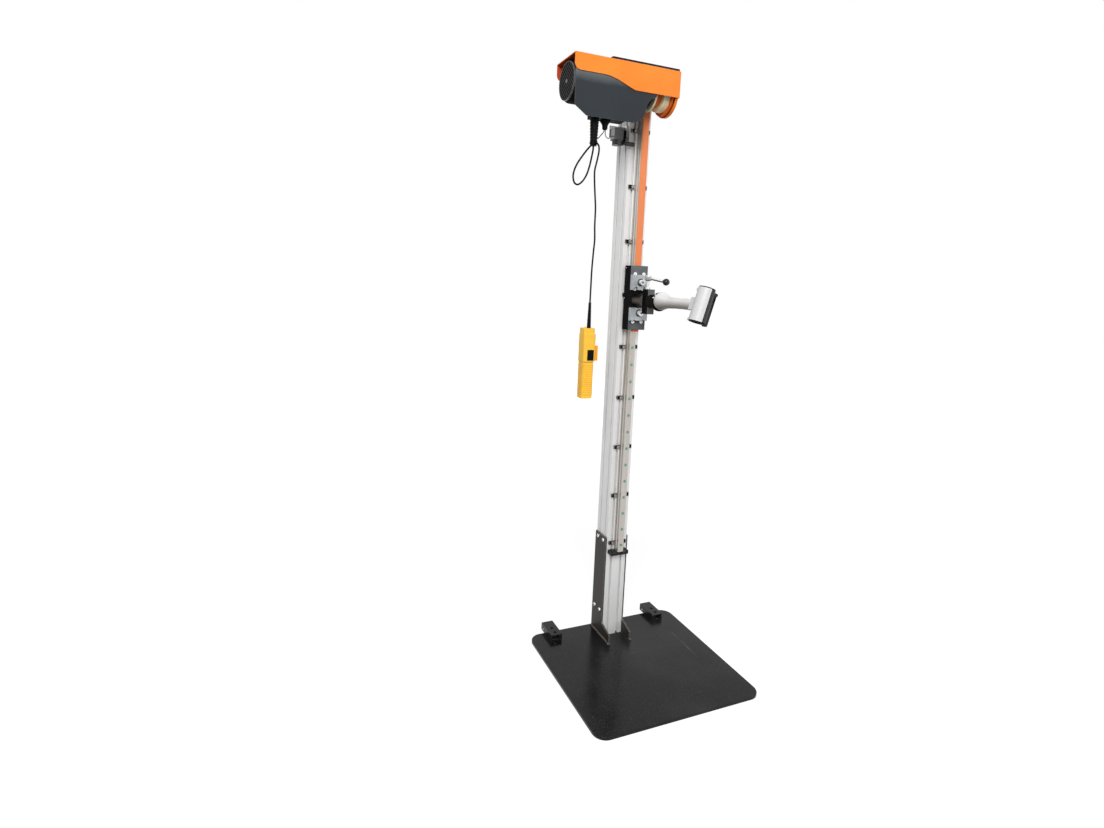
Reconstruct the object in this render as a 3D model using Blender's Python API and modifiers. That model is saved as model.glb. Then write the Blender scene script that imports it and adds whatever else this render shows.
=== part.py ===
"""A workshop lift for bicycles, built as separate pieces.

Metres, +Z up. The origin lies on the floor under the column's centre line.
The strap, the rail and the arm are at the column's front, towards -Y.
"""

import math

import bmesh
import bpy
from mathutils import Euler, Matrix, Vector

# Clearances
GAP = 0.0003
RUNNING_GAP = 0.0008
SCREW_BITE = 0.0008

# Floor plate
PLATE_LEFT = -0.300
PLATE_RIGHT = 0.300
PLATE_FRONT = -0.511
PLATE_REAR = 0.049
PLATE_THICKNESS = 0.010
PLATE_CORNER = 0.042

# Column profile with two T-slots in each face
COLUMN_SIZE = 0.080
COLUMN_TOP = 1.976
SLOT_OFFSET = 0.020
SLOT_MOUTH = 0.008
SLOT_LIP = 0.0045
SLOT_WIDTH = 0.016
SLOT_DEPTH = 0.0125
SLOT_CHAMFER = 0.003
CORE_WIDTH = 0.030
CORE_BORE_OFFSET = 0.0215
CORE_BORE = 0.0034

# Side plates with their gusset feet
SIDE_THICKNESS = 0.005
SIDE_TOP = 0.395
SIDE_SCREW_HEIGHTS = (0.106, 0.380)
GUSSET_REACH = 0.060
GUSSET_ROOT = 0.0625
GUSSET_TIP = 0.044
WELD_RADIUS = 0.003

# Button-head screws for the T-slots
SLOT_SCREW_HEAD = 0.0070
SLOT_SCREW_HEAD_HEIGHT = 0.0040
SLOT_SCREW_SHANK = 0.0034

# Guide rail and what holds it
RAIL_WIDTH = 0.023
RAIL_DEPTH = 0.0312
RAIL_BOTTOM = 0.350
RAIL_TOP_DROP = 0.116
RAIL_CHAMFER = 0.0015
GROOVE_START = 0.0137
GROOVE_WIDTH = 0.010
GROOVE_DEPTH = 0.0025
PLUG_HEIGHT = 0.0006
CLAMP_TOP_DROP = 0.044
CLAMP_PITCH = 0.180
CLAMP_OUTER = 0.035
CLAMP_HEIGHT = 0.013
CLAMP_DEPTH = 0.006
CLAMP_SCREW_HEAD = 0.0056
CLAMP_SCREW_HEAD_HEIGHT = 0.0020
STOP_HALF_WIDTH = 0.036
STOP_HEIGHT = 0.015
STOP_DEPTH = 0.026

# Transport wheels behind the plate
WHEEL_X = 0.216
WHEEL_SPACING_SHIFT = 0.003
BRACKET_WIDTH = 0.043
BRACKET_FRONT = -0.012
BRACKET_REAR = 0.083
BRACKET_TOP = 0.034
BRACKET_WALL = 0.005
BRACKET_FLOOR_CLEARANCE = 0.006
WHEEL_RADIUS = 0.0125
WHEEL_WIDTH = 0.027
WHEEL_FLOOR_CLEARANCE = 0.0023
AXLE_RADIUS = 0.003
BRACKET_SCREW_FRONT = 0.004
BRACKET_SCREW_REAR = 0.032
BRACKET_SCREW_HEAD = 0.0050
BRACKET_SCREW_HEAD_HEIGHT = 0.005
BRACKET_SCREW_SHANK = 0.0030
BRACKET_HOLE = 0.0062

# Winch: one axis across the column for motor, gearbox and drum
WINCH_ROOM = 0.0015
HANGER_CROWN = 0.0119
COVER_STAND_OFF = 0.0035
COVER_LEFT_ROOM = 0.010
COVER_RIGHT_ROOM = 0.013
COVER_HALF_DEPTH = 0.0670
COVER_WALL = 0.0025
COVER_LOBE = 0.060
COVER_LIP = 0.009
SKIRT_DROP = 0.0135
SKIRT_CREST_RISE = 0.0165
SKIRT_WAVE_RIGHT = -0.104
SKIRT_WAVE_LEFT = -0.215
SKIRT_CORNER = 0.018
LID_LEFT = -0.188
LID_INSET = 0.004
LID_THICKNESS = 0.0057
LID_SCREW_HEAD = 0.0055
LID_SCREW_HEAD_HEIGHT = 0.0018
LID_SCREW_SHANK = 0.0025
LID_SCREW_LENGTH = 0.020
PANEL_THICKNESS = 0.0025
PANEL_INSET = 0.005
PANEL_TOP_DROP = 0.014
PANEL_DROP = 0.1075
PANEL_CORNER = 0.009
PANEL_CORNER_RISE = 0.0315
PANEL_BEND = 0.013
PANEL_BEND_IN = 0.044
PANEL_CURVE = 0.0510
PANEL_CURVE_X = -0.112
PANEL_FLAT = 0.003
DRUM_NOTCH = 0.0495
DRUM_NOTCH_X = -0.0125
DRUM_NOTCH_DROP = 0.069
PANEL_RIGHT = -0.0227
PANEL_SKIRT_LAP = 0.004
MOTOR_LENGTH = 0.120
MOTOR_RADIUS = 0.050
MOTOR_RIB_HEIGHT = 0.004
MOTOR_RIB_COUNT = 20
BELL_THICKNESS = 0.014
COWL_REACH = 0.009
COWL_RADIUS = 0.061
COWL_MOUTH = 0.0555
COWL_WALL = 0.002
GRILLE_THICKNESS = 0.006
GRILLE_SLOT = 0.0045
GRILLE_BAR = 0.0040
GRILLE_RIM = 0.0045
FAN_RADIUS = 0.048
FAN_BLADES = 7
FAN_ROOM = 0.018
FAN_WIDTH = 0.020
MOTOR_SHAFT = 0.006
GEARBOX_LENGTH = 0.0958
GEARBOX_ROOM = 0.0042
GEARBOX_RADIUS = 0.048
HANGER_DEPTH = 0.050
HANGER_WIDTH = 0.020
HANGER_WRAP = 0.0173
MOTOR_HANGER_IN = 0.050
GEARBOX_HANGER_IN = 0.0358
SHAFT_RADIUS = 0.010
BEARING_OUTER = 0.020
DRUM_ROOM = 0.0015
DRUM_FLANGE_THICKNESS = 0.006
DRUM_FLANGE_RADIUS = 0.050
DRUM_CORE = 0.026
HUB_LENGTH = 0.0217
HUB_RADIUS = 0.046
HUB_SEAM = 0.0015
RIM_THICKNESS = 0.006
BEARING_ROOM = 0.0017
RIM_RADIUS = 0.056

# Strap
STRAP_WIDTH = 0.025
STRAP_THICKNESS = 0.002
STRAP_ROOM = 0.0045
STRAP_TAIL_LENGTH = 0.0180

# Control box with its cord boot and gland
BOX_LEFT = -0.237
BOX_RIGHT = -0.125
BOX_AHEAD = 0.0545
BOX_DEPTH = 0.044
BOX_HEIGHT = 0.0434
BOX_ROOM = 0.011
BOX_SADDLE_LEFT = -0.215
BOX_SADDLE_RIGHT = -0.150
BOOT_X = -0.221
BOOT_INSET = 0.025
BOOT_LENGTH = 0.0786
BOOT_TOP_RADIUS = 0.0140
BOOT_BOTTOM_RADIUS = 0.0108
BOOT_RIBS = 6
BAND_LOW = 0.0060
BAND_HIGH = 0.0105
EYE_RADIUS = 0.0060
EYE_AHEAD = 0.017
EYE_RISE = 0.0058
EYE_ROOM = 0.0012
GLAND_X = -0.1845
GLAND_LENGTH = 0.0276
GLAND_RADIUS = 0.0088
GLAND_FLANGE = 0.0160
WIRE_DIAMETER = 0.003

# Limit switch on the column's left face
SWITCH_ROOM = 0.0165
SWITCH_WIDTH = 0.032
SWITCH_SETBACK = 0.010
SWITCH_DEPTH = 0.032
SWITCH_DROP = 0.154
SWITCH_HEIGHT = 0.0375
SWITCH_BRACKET_RISE = 0.012
SWITCH_PLATE = 0.003
SWITCH_PLATE_REACH = 0.004
SWITCH_SIDE_DROP = 0.006
SWITCH_SIDE_ROOM = 0.004
SWITCH_HEAD_RADIUS = 0.0155
SWITCH_HEAD_LENGTH = 0.0155
SWITCH_AXIS_AHEAD = 0.006
SWITCH_AXIS_DROP = 0.010
SWITCH_ROLLER_AHEAD = 0.021
SWITCH_ROLLER_DROP = 0.006
SWITCH_ROLLER_RADIUS = 0.0066
SWITCH_LEVER_RADIUS = 0.0042
SWITCH_LEVER_THICKNESS = 0.0025
SPINDLE_RADIUS = 0.0020
SPINDLE_HALF = 0.012
NOSE_HALF = 0.005

# Carriage
CARRIAGE_BOTTOM = 1.159
CARRIAGE_TOP = 1.375
CARRIAGE_HALF_WIDTH = 0.033
CARRIAGE_DEPTH_AHEAD = 0.0165
CARRIAGE_COLUMN_ROOM = 0.0095
ANCHOR_SLOT = 0.0075
CARRIAGE_WALL = 0.0045
BLOCK_LENGTH = 0.080
UPPER_BLOCK_INSET = 0.010
LOWER_BLOCK_INSET = 0.011
CLAMP_BLOCK_THICKNESS = 0.0127
UPPER_CLAMP_BOTTOM = 1.294
UPPER_CLAMP_TOP = 1.345
LOWER_CLAMP_BOTTOM = 1.191
LOWER_CLAMP_TOP = 1.2350
FACE_SCREW_X = 0.0165
FACE_SCREW_HEIGHTS = (1.187, 1.297, 1.347)
FACE_SCREW_HEAD = 0.0060
FACE_SCREW_HEAD_HEIGHT = 0.0030
FACE_SCREW_SHANK = 0.0024
FACE_SCREW_LENGTH = 0.012
SCALLOP_RADIUS = 0.0072
BLOCK_BOLT_HEIGHTS = (1.217, 1.3195)
BLOCK_BOLT_HEAD = 0.0098
BLOCK_BOLT_HEAD_HEIGHT = 0.014
BLOCK_BOLT_SHANK = 0.0050
BLOCK_BOLT_REST = 0.0028
NIPPLE_HEIGHTS = (1.265, 1.367)
NIPPLE_INSET = 0.005

# Pivot on the carriage, and its clamping lever
PIVOT_Z = 1.260
PIVOT_TUBE_RADIUS = 0.0240
PIVOT_TUBE_LENGTH = 0.0497
PIVOT_BOX_HALF_WIDTH = 0.0130
PIVOT_BOX_BOTTOM = 1.217
PIVOT_BOX_TOP = 1.298
PIVOT_BOX_LENGTH = 0.0325
LEVER_SETBACK = 0.010
STUD_RADIUS = 0.005
STUD_TOP = 1.3257
STUD_NUT_RADIUS = 0.0085
STUD_NUT_HEIGHT = 0.0065
LEVER_HUB_RADIUS = 0.0105
LEVER_HUB_HEIGHT = 0.018
LEVER_REACH = 0.060
LEVER_DROP = math.radians(11)
LEVER_HEADING = math.radians(-45)
LEVER_ROD = 0.0048
KNOB_RADIUS = 0.0115

# Arm
ARM_SHAFT = 0.010
COLLAR_RADIUS = 0.0300
COLLAR_LENGTH = 0.0544
COLLAR_SLEEVE = 0.0215
COLLAR_FLANGE = 0.007
ARM_LENGTH = 0.1802
BULB_RADIUS = 0.0285
NECK_RADIUS = 0.0178
WAIST_RADIUS = 0.0165
BULB_RISE = 0.0030

# Clamp jaws, in their own frame: the post's line is the frame's Z axis
POST_REACH = 0.036
JAW_TILT = math.radians(16.7)
JAW_HALF_HEIGHT = 0.049
JAW_OUTER = 0.025
JAW_WALL = 0.006
JAW_SPLIT = 0.0020
LINER_THICKNESS = 0.003
LINER_LIP = 0.0028
PIN_X = 0.004
PIN_Y = 0.0315
PIN_RADIUS = 0.0022
KNUCKLE_RADIUS = 0.0052
ROOT_HALF_HEIGHT = 0.0185
KNUCKLE_TOP = 0.040
JAW_LEVER_X = 0.0300
JAW_LEVER_Z = 0.040
JAW_LEVER_HALF_WIDTH = 0.0085
JAW_LEVER_RADIUS = 0.0042
JAW_LEVER_BOTTOM = -0.055
LUG_THICKNESS = 0.003

# Pendant control on its cord
PENDANT_X = -0.2115
PENDANT_TOP = 1.1685
PENDANT_BOTTOM = 0.942
PENDANT_WIDTH = 0.039
PENDANT_CORNER = 0.008
HEAD_BOTTOM = 1.062
HEAD_TOP = 1.150
HEAD_AHEAD = 0.0235
LUG_OFFSET = 0.008
GUARD_RIGHT = -0.1765
GUARD_TOP = 1.112
PENDANT_BOOT_TOP = 1.250
PENDANT_BOOT_X = -0.207
PENDANT_BOOT_RADIUS = 0.0068
ROCKER_X = -0.2080
ROCKER_Z = 1.083
ROCKER_WIDTH = 0.018
ROCKER_HEIGHT = 0.028
ROCKER_THICKNESS = 0.007
ROCKER_PROUD = 0.0025
CORD_DIAMETER = 0.0055

# Values that follow from the ones above
COLUMN_HALF = COLUMN_SIZE / 2
FLOOR_TOP = PLATE_THICKNESS + GAP
RAIL_HALF = RAIL_WIDTH / 2
RAIL_BACK = -COLUMN_HALF - GAP
RAIL_FRONT = RAIL_BACK - RAIL_DEPTH
RAIL_TOP = COLUMN_TOP - RAIL_TOP_DROP
CLAMP_FRONT = RAIL_BACK - CLAMP_DEPTH
CLAMP_TOP_HEIGHT = RAIL_TOP - CLAMP_TOP_DROP
CLAMP_COUNT = 1 + math.floor((CLAMP_TOP_HEIGHT - RAIL_BOTTOM - CLAMP_HEIGHT / 2) / CLAMP_PITCH)
LID_BOTTOM = COLUMN_TOP + GAP
LID_TOP = LID_BOTTOM + LID_THICKNESS
COVER_CEILING = COLUMN_TOP - COVER_WALL
WINCH_HEADROOM = max(max(COWL_RADIUS, RIM_RADIUS) + WINCH_ROOM, MOTOR_RADIUS + 2 * GAP + HANGER_CROWN)
WINCH_Z = COVER_CEILING - WINCH_HEADROOM
WINCH_Y = -COLUMN_HALF - COVER_STAND_OFF - COVER_HALF_DEPTH
DRUM_HALF = STRAP_WIDTH / 2 + DRUM_ROOM
DRUM_FLANGE_LEFT = -DRUM_HALF - DRUM_FLANGE_THICKNESS
HUB_LEFT = DRUM_HALF
HUB_RIGHT = HUB_LEFT + HUB_LENGTH
RIM_RIGHT = HUB_RIGHT + GAP + RIM_THICKNESS
GEARBOX_RIGHT = DRUM_FLANGE_LEFT - GEARBOX_ROOM
MOTOR_RIGHT = GEARBOX_RIGHT - GEARBOX_LENGTH
MOTOR_LEFT = MOTOR_RIGHT - MOTOR_LENGTH
FAN_LEFT = MOTOR_LEFT - BELL_THICKNESS - FAN_ROOM - FAN_WIDTH
COWL_LEFT = FAN_LEFT - COWL_REACH
HANGER_CENTRES = (MOTOR_RIGHT - MOTOR_HANGER_IN, GEARBOX_RIGHT - GEARBOX_HANGER_IN)
COVER_LEFT = COWL_LEFT - COVER_LEFT_ROOM
COVER_RIGHT = RIM_RIGHT + COVER_RIGHT_ROOM
COVER_NEAR = WINCH_Y - COVER_HALF_DEPTH
COVER_FAR = WINCH_Y + COVER_HALF_DEPTH
SKIRT_STRAIGHT_Z = WINCH_Z - SKIRT_DROP
SKIRT_CREST_Z = WINCH_Z + SKIRT_CREST_RISE
LID_RIGHT = COVER_RIGHT - LID_INSET
PANEL_LEFT = COVER_LEFT + PANEL_INSET
PANEL_TOP = COLUMN_TOP - PANEL_TOP_DROP
PANEL_BOTTOM = WINCH_Z - PANEL_DROP
STRAP_Y = RAIL_FRONT - STRAP_ROOM
STRAP_TOP = WINCH_Z
WINDING_RADIUS = STRAP_Y - WINCH_Y - STRAP_THICKNESS / 2 - GAP
BOX_TOP = WINCH_Z - MOTOR_RADIUS - BOX_ROOM
BOX_BOTTOM = BOX_TOP - BOX_HEIGHT
BOX_FRONT = WINCH_Y - BOX_AHEAD
BOX_REAR = BOX_FRONT + BOX_DEPTH
BOOT_Y = BOX_FRONT + BOOT_INSET
BOOT_BOTTOM = BOX_BOTTOM - BOOT_LENGTH
GLAND_BOTTOM = BOX_BOTTOM - GLAND_LENGTH
SWITCH_RIGHT = -COLUMN_HALF - SWITCH_ROOM
SWITCH_LEFT = SWITCH_RIGHT - SWITCH_WIDTH
SWITCH_FRONT = SWITCH_SETBACK - COLUMN_HALF
SWITCH_REAR = SWITCH_FRONT + SWITCH_DEPTH
SWITCH_AXIS_Y = SWITCH_FRONT - SWITCH_AXIS_AHEAD
SWITCH_ROLLER_Y = SWITCH_AXIS_Y - SWITCH_ROLLER_AHEAD
SWITCH_TOP = COLUMN_TOP - SWITCH_DROP
SWITCH_BOTTOM = SWITCH_TOP - SWITCH_HEIGHT
SWITCH_BRACKET_TOP = SWITCH_TOP + SWITCH_BRACKET_RISE
SWITCH_HEAD_BOTTOM = SWITCH_BOTTOM - SWITCH_HEAD_LENGTH
SWITCH_AXIS_Z = SWITCH_BOTTOM - SWITCH_AXIS_DROP
SWITCH_ROLLER_Z = SWITCH_AXIS_Z - SWITCH_ROLLER_DROP
CARRIAGE_FRONT = RAIL_FRONT - CARRIAGE_DEPTH_AHEAD
CARRIAGE_REAR = -COLUMN_HALF - CARRIAGE_COLUMN_ROOM
UPPER_BLOCK_BOTTOM = CARRIAGE_TOP - UPPER_BLOCK_INSET - BLOCK_LENGTH
LOWER_BLOCK_BOTTOM = CARRIAGE_BOTTOM + LOWER_BLOCK_INSET
CARRIAGE_INNER = CARRIAGE_HALF_WIDTH - CARRIAGE_WALL
CARRIAGE_INNER_FRONT = CARRIAGE_FRONT + CARRIAGE_WALL
NIPPLE_Y = CARRIAGE_REAR - NIPPLE_INSET
CLAMP_BLOCK_FRONT = CARRIAGE_FRONT - GAP - CLAMP_BLOCK_THICKNESS
BLOCK_BOLT_END = RAIL_FRONT - BLOCK_BOLT_REST
TUBE_FRONT = CARRIAGE_FRONT - GAP - PIVOT_TUBE_LENGTH
LEVER_Y = TUBE_FRONT - LEVER_SETBACK
PIVOT_BOX_FRONT = TUBE_FRONT - GAP - PIVOT_BOX_LENGTH
COLLAR_FRONT = PIVOT_BOX_FRONT - GAP - COLLAR_LENGTH
ARM_START = COLLAR_FRONT - GAP
ARM_END = ARM_START - ARM_LENGTH
POST_Y = ARM_END - POST_REACH
JAW_INNER = JAW_OUTER - JAW_WALL
LINER_OUTER = JAW_INNER - GAP
LINER_INNER = LINER_OUTER - LINER_THICKNESS
PIN_BORE = PIN_RADIUS + GAP
LEVER_HUB_BOTTOM = STUD_TOP + GAP
LEVER_HUB_MIDDLE = LEVER_HUB_BOTTOM + LEVER_HUB_HEIGHT / 2
PENDANT_Y = BOOT_Y
HEAD_FRONT = PENDANT_Y - HEAD_AHEAD


def clear_scene():
    """Remove whatever the file holds."""
    for item in list(bpy.data.objects):
        bpy.data.objects.remove(item)


def new_collection(name):
    """A collection linked to the scene."""
    collection = bpy.data.collections.new(name)
    bpy.context.scene.collection.children.link(collection)
    return collection


clear_scene()
PARTS = new_collection("bike_lift")
CUTTERS = new_collection("cutters")
MATERIALS = {}


def material(name, colour, metallic, roughness):
    """A Principled material, kept by its name."""
    finish = bpy.data.materials.new(name)
    finish.use_nodes = True
    shader = finish.node_tree.nodes["Principled BSDF"]
    shader.inputs["Base Color"].default_value = (*colour, 1.0)
    shader.inputs["Metallic"].default_value = metallic
    shader.inputs["Roughness"].default_value = roughness
    MATERIALS[name] = finish


material("plate_black", (0.012, 0.012, 0.013), 0.0, 0.35)
material("dark_steel", (0.050, 0.044, 0.040), 0.8, 0.40)
material("anodised", (0.720, 0.720, 0.710), 0.9, 0.32)
material("rail_steel", (0.400, 0.380, 0.350), 1.0, 0.28)
material("bright_steel", (0.700, 0.700, 0.710), 1.0, 0.22)
material("black_oxide", (0.015, 0.015, 0.015), 0.5, 0.45)
material("wheel_rubber", (0.090, 0.080, 0.072), 0.0, 0.70)
material("cover_orange", (0.900, 0.240, 0.035), 0.0, 0.38)
material("panel_slate", (0.070, 0.085, 0.092), 0.0, 0.45)
material("motor_grey", (0.060, 0.060, 0.062), 0.2, 0.50)
material("black_plastic", (0.012, 0.012, 0.012), 0.0, 0.45)
material("hub_cream", (0.780, 0.680, 0.480), 0.0, 0.45)
material("strap_orange", (0.850, 0.250, 0.080), 0.0, 0.80)
material("block_silver", (0.560, 0.570, 0.580), 0.9, 0.35)
material("carriage_black", (0.020, 0.020, 0.021), 0.1, 0.40)
material("cast_grey", (0.620, 0.620, 0.600), 0.3, 0.45)
material("jaw_dark", (0.035, 0.035, 0.036), 0.1, 0.45)
material("liner_rubber", (0.015, 0.015, 0.015), 0.0, 0.75)
material("switch_grey", (0.200, 0.210, 0.210), 0.1, 0.50)
material("pendant_yellow", (0.900, 0.450, 0.030), 0.0, 0.42)
material("cord_black", (0.014, 0.014, 0.014), 0.0, 0.55)


def place(item, name, finish, collection=None):
    """Name an object, give it its material and link it."""
    item.name = name
    item.data.name = name
    if finish:
        item.data.materials.append(MATERIALS[finish])
    (collection or PARTS).objects.link(item)
    return item


def from_bmesh(shape, name, finish, location=(0, 0, 0), rotation=(0, 0, 0)):
    """An object made of a bmesh."""
    mesh = bpy.data.meshes.new(name)
    shape.to_mesh(mesh)
    shape.free()
    item = place(bpy.data.objects.new(name, mesh), name, finish)
    item.location = location
    item.rotation_euler = rotation
    return item


def box(name, finish, x, y, z):
    """A block between the two values of each of x, y and z."""
    shape = bmesh.new()
    bmesh.ops.create_cube(shape, size=1.0)
    size = (x[1] - x[0], y[1] - y[0], z[1] - z[0])
    bmesh.ops.scale(shape, vec=size, verts=shape.verts)
    return from_bmesh(shape, name, finish, (sum(x) / 2, sum(y) / 2, sum(z) / 2))


ALONG = {"X": (0, math.pi / 2, 0), "Y": (-math.pi / 2, 0, 0), "Z": (0, 0, 0)}


def along_point(axis, across, position):
    """The point at a position along an axis that passes through two across values."""
    if axis == "X":
        return (position, across[0], across[1])
    if axis == "Y":
        return (across[0], position, across[1])
    return (across[0], across[1], position)


def rod(name, finish, axis, across, ends, radius, sides=16):
    """A cylinder along an axis between two ends."""
    shape = bmesh.new()
    bmesh.ops.create_cone(shape, cap_ends=True, segments=sides, radius1=radius, radius2=radius,
                          depth=ends[1] - ends[0])
    middle = along_point(axis, across, sum(ends) / 2)
    item = from_bmesh(shape, name, finish, middle, ALONG[axis])
    smooth(item)
    return item


def smooth(item):
    """Shade a round piece smooth but for its edges."""
    item.data.shade_smooth()
    item.data.set_sharp_from_angle(angle=math.radians(35))


def turned(name, finish, axis, across, profile, sides=24, closed=False):
    """A turned piece: its profile holds pairs of radius and position, outer side first, top to bottom."""
    mesh = bpy.data.meshes.new(name)
    verts = [(radius, 0, position) for radius, position in profile]
    edges = [(i, i + 1) for i in range(len(verts) - 1)]
    if closed:
        edges.append((len(verts) - 1, 0))
    mesh.from_pydata(verts, edges, [])
    item = place(bpy.data.objects.new(name, mesh), name, finish)
    item.location = along_point(axis, across, 0)
    item.rotation_euler = ALONG[axis]
    screw = item.modifiers.new("Turn", "SCREW")
    screw.steps = sides
    screw.render_steps = sides
    screw.use_merge_vertices = True
    screw.merge_threshold = 0.00001
    screw.use_smooth_shade = False
    return item


def ring(name, finish, axis, across, ends, outer, inner, sides=24):
    """A turned ring with a plain bore."""
    profile = [(outer, ends[1]), (outer, ends[0]), (inner, ends[0]), (inner, ends[1])]
    return turned(name, finish, axis, across, profile, sides, closed=True)


PLANES = {"XY": (0, 0, 0), "XZ": (math.pi / 2, 0, 0), "YZ": (math.pi / 2, 0, math.pi / 2)}


def outline(name, finish, plane, loops, span):
    """A flat piece: closed outlines in a plane, the later ones holes, thick from span[0] to span[1]."""
    curve = bpy.data.curves.new(name, "CURVE")
    curve.dimensions = "2D"
    curve.fill_mode = "BOTH"
    curve.extrude = (span[1] - span[0]) / 2
    for points in loops:
        spline = curve.splines.new("POLY")
        spline.points.add(len(points) - 1)
        for target, point in zip(spline.points, points):
            target.co = (point[0], point[1], 0, 1)
        spline.use_cyclic_u = True
    item = bpy.data.objects.new(name, curve)
    PARTS.objects.link(item)
    middle = sum(span) / 2
    item.location = {"XY": (0, 0, middle), "XZ": (0, middle, 0), "YZ": (middle, 0, 0)}[plane]
    item.rotation_euler = PLANES[plane]
    return curve_to_mesh(item, name, finish)


def curve_to_mesh(item, name, finish):
    """Turn a curve object into a closed mesh object at the same place."""
    bpy.context.view_layer.update()
    depsgraph = bpy.context.evaluated_depsgraph_get()
    mesh = bpy.data.meshes.new_from_object(item.evaluated_get(depsgraph))
    matrix = item.matrix_world.copy()
    bpy.data.objects.remove(item)
    shape = bmesh.new()
    shape.from_mesh(mesh)
    bmesh.ops.remove_doubles(shape, verts=shape.verts, dist=0.00001)
    bmesh.ops.recalc_face_normals(shape, faces=shape.faces)
    shape.to_mesh(mesh)
    shape.free()
    mesh.materials.clear()
    solid = place(bpy.data.objects.new(name, mesh), name, finish)
    solid.matrix_world = matrix
    return solid


def circle(across, up, radius, count):
    """Points of a circle in a plane."""
    return arc(across, up, radius, 0, 2 * math.pi * (count - 1) / count, count)


def arc(across, up, radius, start, end, count):
    """Points of an arc in a plane, both ends included."""
    points = []
    for index in range(count):
        angle = start + (end - start) * index / (count - 1)
        points.append((across + radius * math.cos(angle), up + radius * math.sin(angle)))
    return points


def rounded(x, y, radius, count=6):
    """A rectangle with round corners."""
    points = []
    corners = ((x[1], y[1], 0), (x[0], y[1], 1), (x[0], y[0], 2), (x[1], y[0], 3))
    for corner_x, corner_y, quarter in corners:
        centre_x = corner_x - radius if corner_x == x[1] else corner_x + radius
        centre_y = corner_y - radius if corner_y == y[1] else corner_y + radius
        start = quarter * math.pi / 2
        points += arc(centre_x, centre_y, radius, start, start + math.pi / 2, count)
    return points


def smooth_route(points, spacing):
    """Points at an even spacing on a smooth curve through the given ones."""
    route = [Vector(point) for point in points]
    padded = [2 * route[0] - route[1], *route, 2 * route[-1] - route[-2]]
    fine = []
    for a, b, c, d in zip(padded, padded[1:], padded[2:], padded[3:]):
        for step in range(24):
            t = step / 24
            fine.append(0.5 * (2 * b + (c - a) * t + (2 * a - 5 * b + 4 * c - d) * t ** 2
                               + (3 * b - a - 3 * c + d) * t ** 3))
    fine.append(route[-1])
    lengths = [0.0]
    for a, b in zip(fine, fine[1:]):
        lengths.append(lengths[-1] + (b - a).length)
    count = max(2, round(lengths[-1] / spacing))
    even = []
    index = 0
    for number in range(count + 1):
        target = lengths[-1] * number / count
        while index < len(fine) - 2 and lengths[index + 1] < target:
            index += 1
        share = (target - lengths[index]) / max(lengths[index + 1] - lengths[index], 1e-9)
        even.append(fine[index].lerp(fine[index + 1], min(share, 1.0)))
    return even


def cord(name, finish, points, diameter, spacing):
    """A round cord along a smooth route."""
    curve = bpy.data.curves.new(name, "CURVE")
    curve.dimensions = "3D"
    curve.bevel_depth = diameter / 2
    curve.bevel_resolution = 2
    curve.use_fill_caps = True
    route = smooth_route(points, spacing)
    spline = curve.splines.new("POLY")
    spline.points.add(len(route) - 1)
    for target, point in zip(spline.points, route):
        target.co = (*point, 1)
    item = bpy.data.objects.new(name, curve)
    PARTS.objects.link(item)
    return curve_to_mesh(item, name, finish)


def as_cutter(item):
    """Move a piece to the cutters' collection."""
    for collection in list(item.users_collection):
        collection.objects.unlink(item)
    CUTTERS.objects.link(item)
    item.hide_render = True
    item.display_type = "WIRE"
    return item


def combine(target, others, operation):
    """Add one Boolean for each of the other pieces."""
    for other in others:
        as_cutter(other)
        boolean = target.modifiers.new(operation.title(), "BOOLEAN")
        boolean.operation = operation
        boolean.solver = "EXACT"
        boolean.object = other
    return target


def cut(target, *others):
    """Cut pieces out of a target."""
    return combine(target, others, "DIFFERENCE")


def unite(target, *others):
    """Join pieces to a target as one solid."""
    return combine(target, others, "UNION")


def group(name, finish, pieces):
    """Gather separate solids in one object."""
    bpy.context.view_layer.update()
    depsgraph = bpy.context.evaluated_depsgraph_get()
    gathered = bmesh.new()
    for piece in pieces:
        mesh = bpy.data.meshes.new_from_object(piece.evaluated_get(depsgraph))
        mesh.transform(piece.matrix_world)
        gathered.from_mesh(mesh)
        bpy.data.meshes.remove(mesh)
    for piece in pieces:
        bpy.data.objects.remove(piece)
    return from_bmesh(gathered, name, finish)


def drill(target, axis, places, ends, radius, sides=12):
    """Bore round holes at several places."""
    holes = []
    for across in places:
        holes.append(rod("hole", None, axis, across, ends, radius, sides))
    return cut(target, group(target.name + "_holes", None, holes))


def screw(axis, across, seat, outward, head, head_height, shank, length, sides=8, lift=-SCREW_BITE):
    """A button-head screw on its seat: sunk by a bite where it is joined to it, lifted where it isn't."""
    top = seat + outward * head_height
    under = seat + outward * lift
    tip = seat - outward * length
    profile = [(0, top), (head * 0.62, top), (head, under + outward * head_height * 0.35), (head, under),
               (shank, under), (shank, tip), (0, tip)]
    if outward < 0:
        profile.reverse()
    return turned("screw", None, axis, across, profile, sides)


def button(axis, across, seat, outward, radius, height, sides=8):
    """A screw head joined to its seat."""
    ends = sorted((seat - outward * SCREW_BITE, seat + outward * height))
    return rod("button", None, axis, across, ends, radius, sides)


def joint(name, location, rotation=(0, 0, 0), parent=None):
    """An empty on a joint's axis."""
    item = bpy.data.objects.new(name, None)
    item.empty_display_size = 0.05
    PARTS.objects.link(item)
    item.location = location
    item.rotation_euler = rotation
    item.parent = parent
    return item


def matrix_of(item):
    """World matrix of a joint from its own values."""
    own = Matrix.LocRotScale(item.location, Euler(item.rotation_euler), item.scale)
    if item.parent:
        return matrix_of(item.parent) @ own
    return own


def hang(carrier, *pieces):
    """Parent pieces to a joint where they are."""
    for piece in pieces:
        piece.parent = carrier
        piece.matrix_parent_inverse = matrix_of(carrier).inverted()


# Foot of the lift


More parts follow.
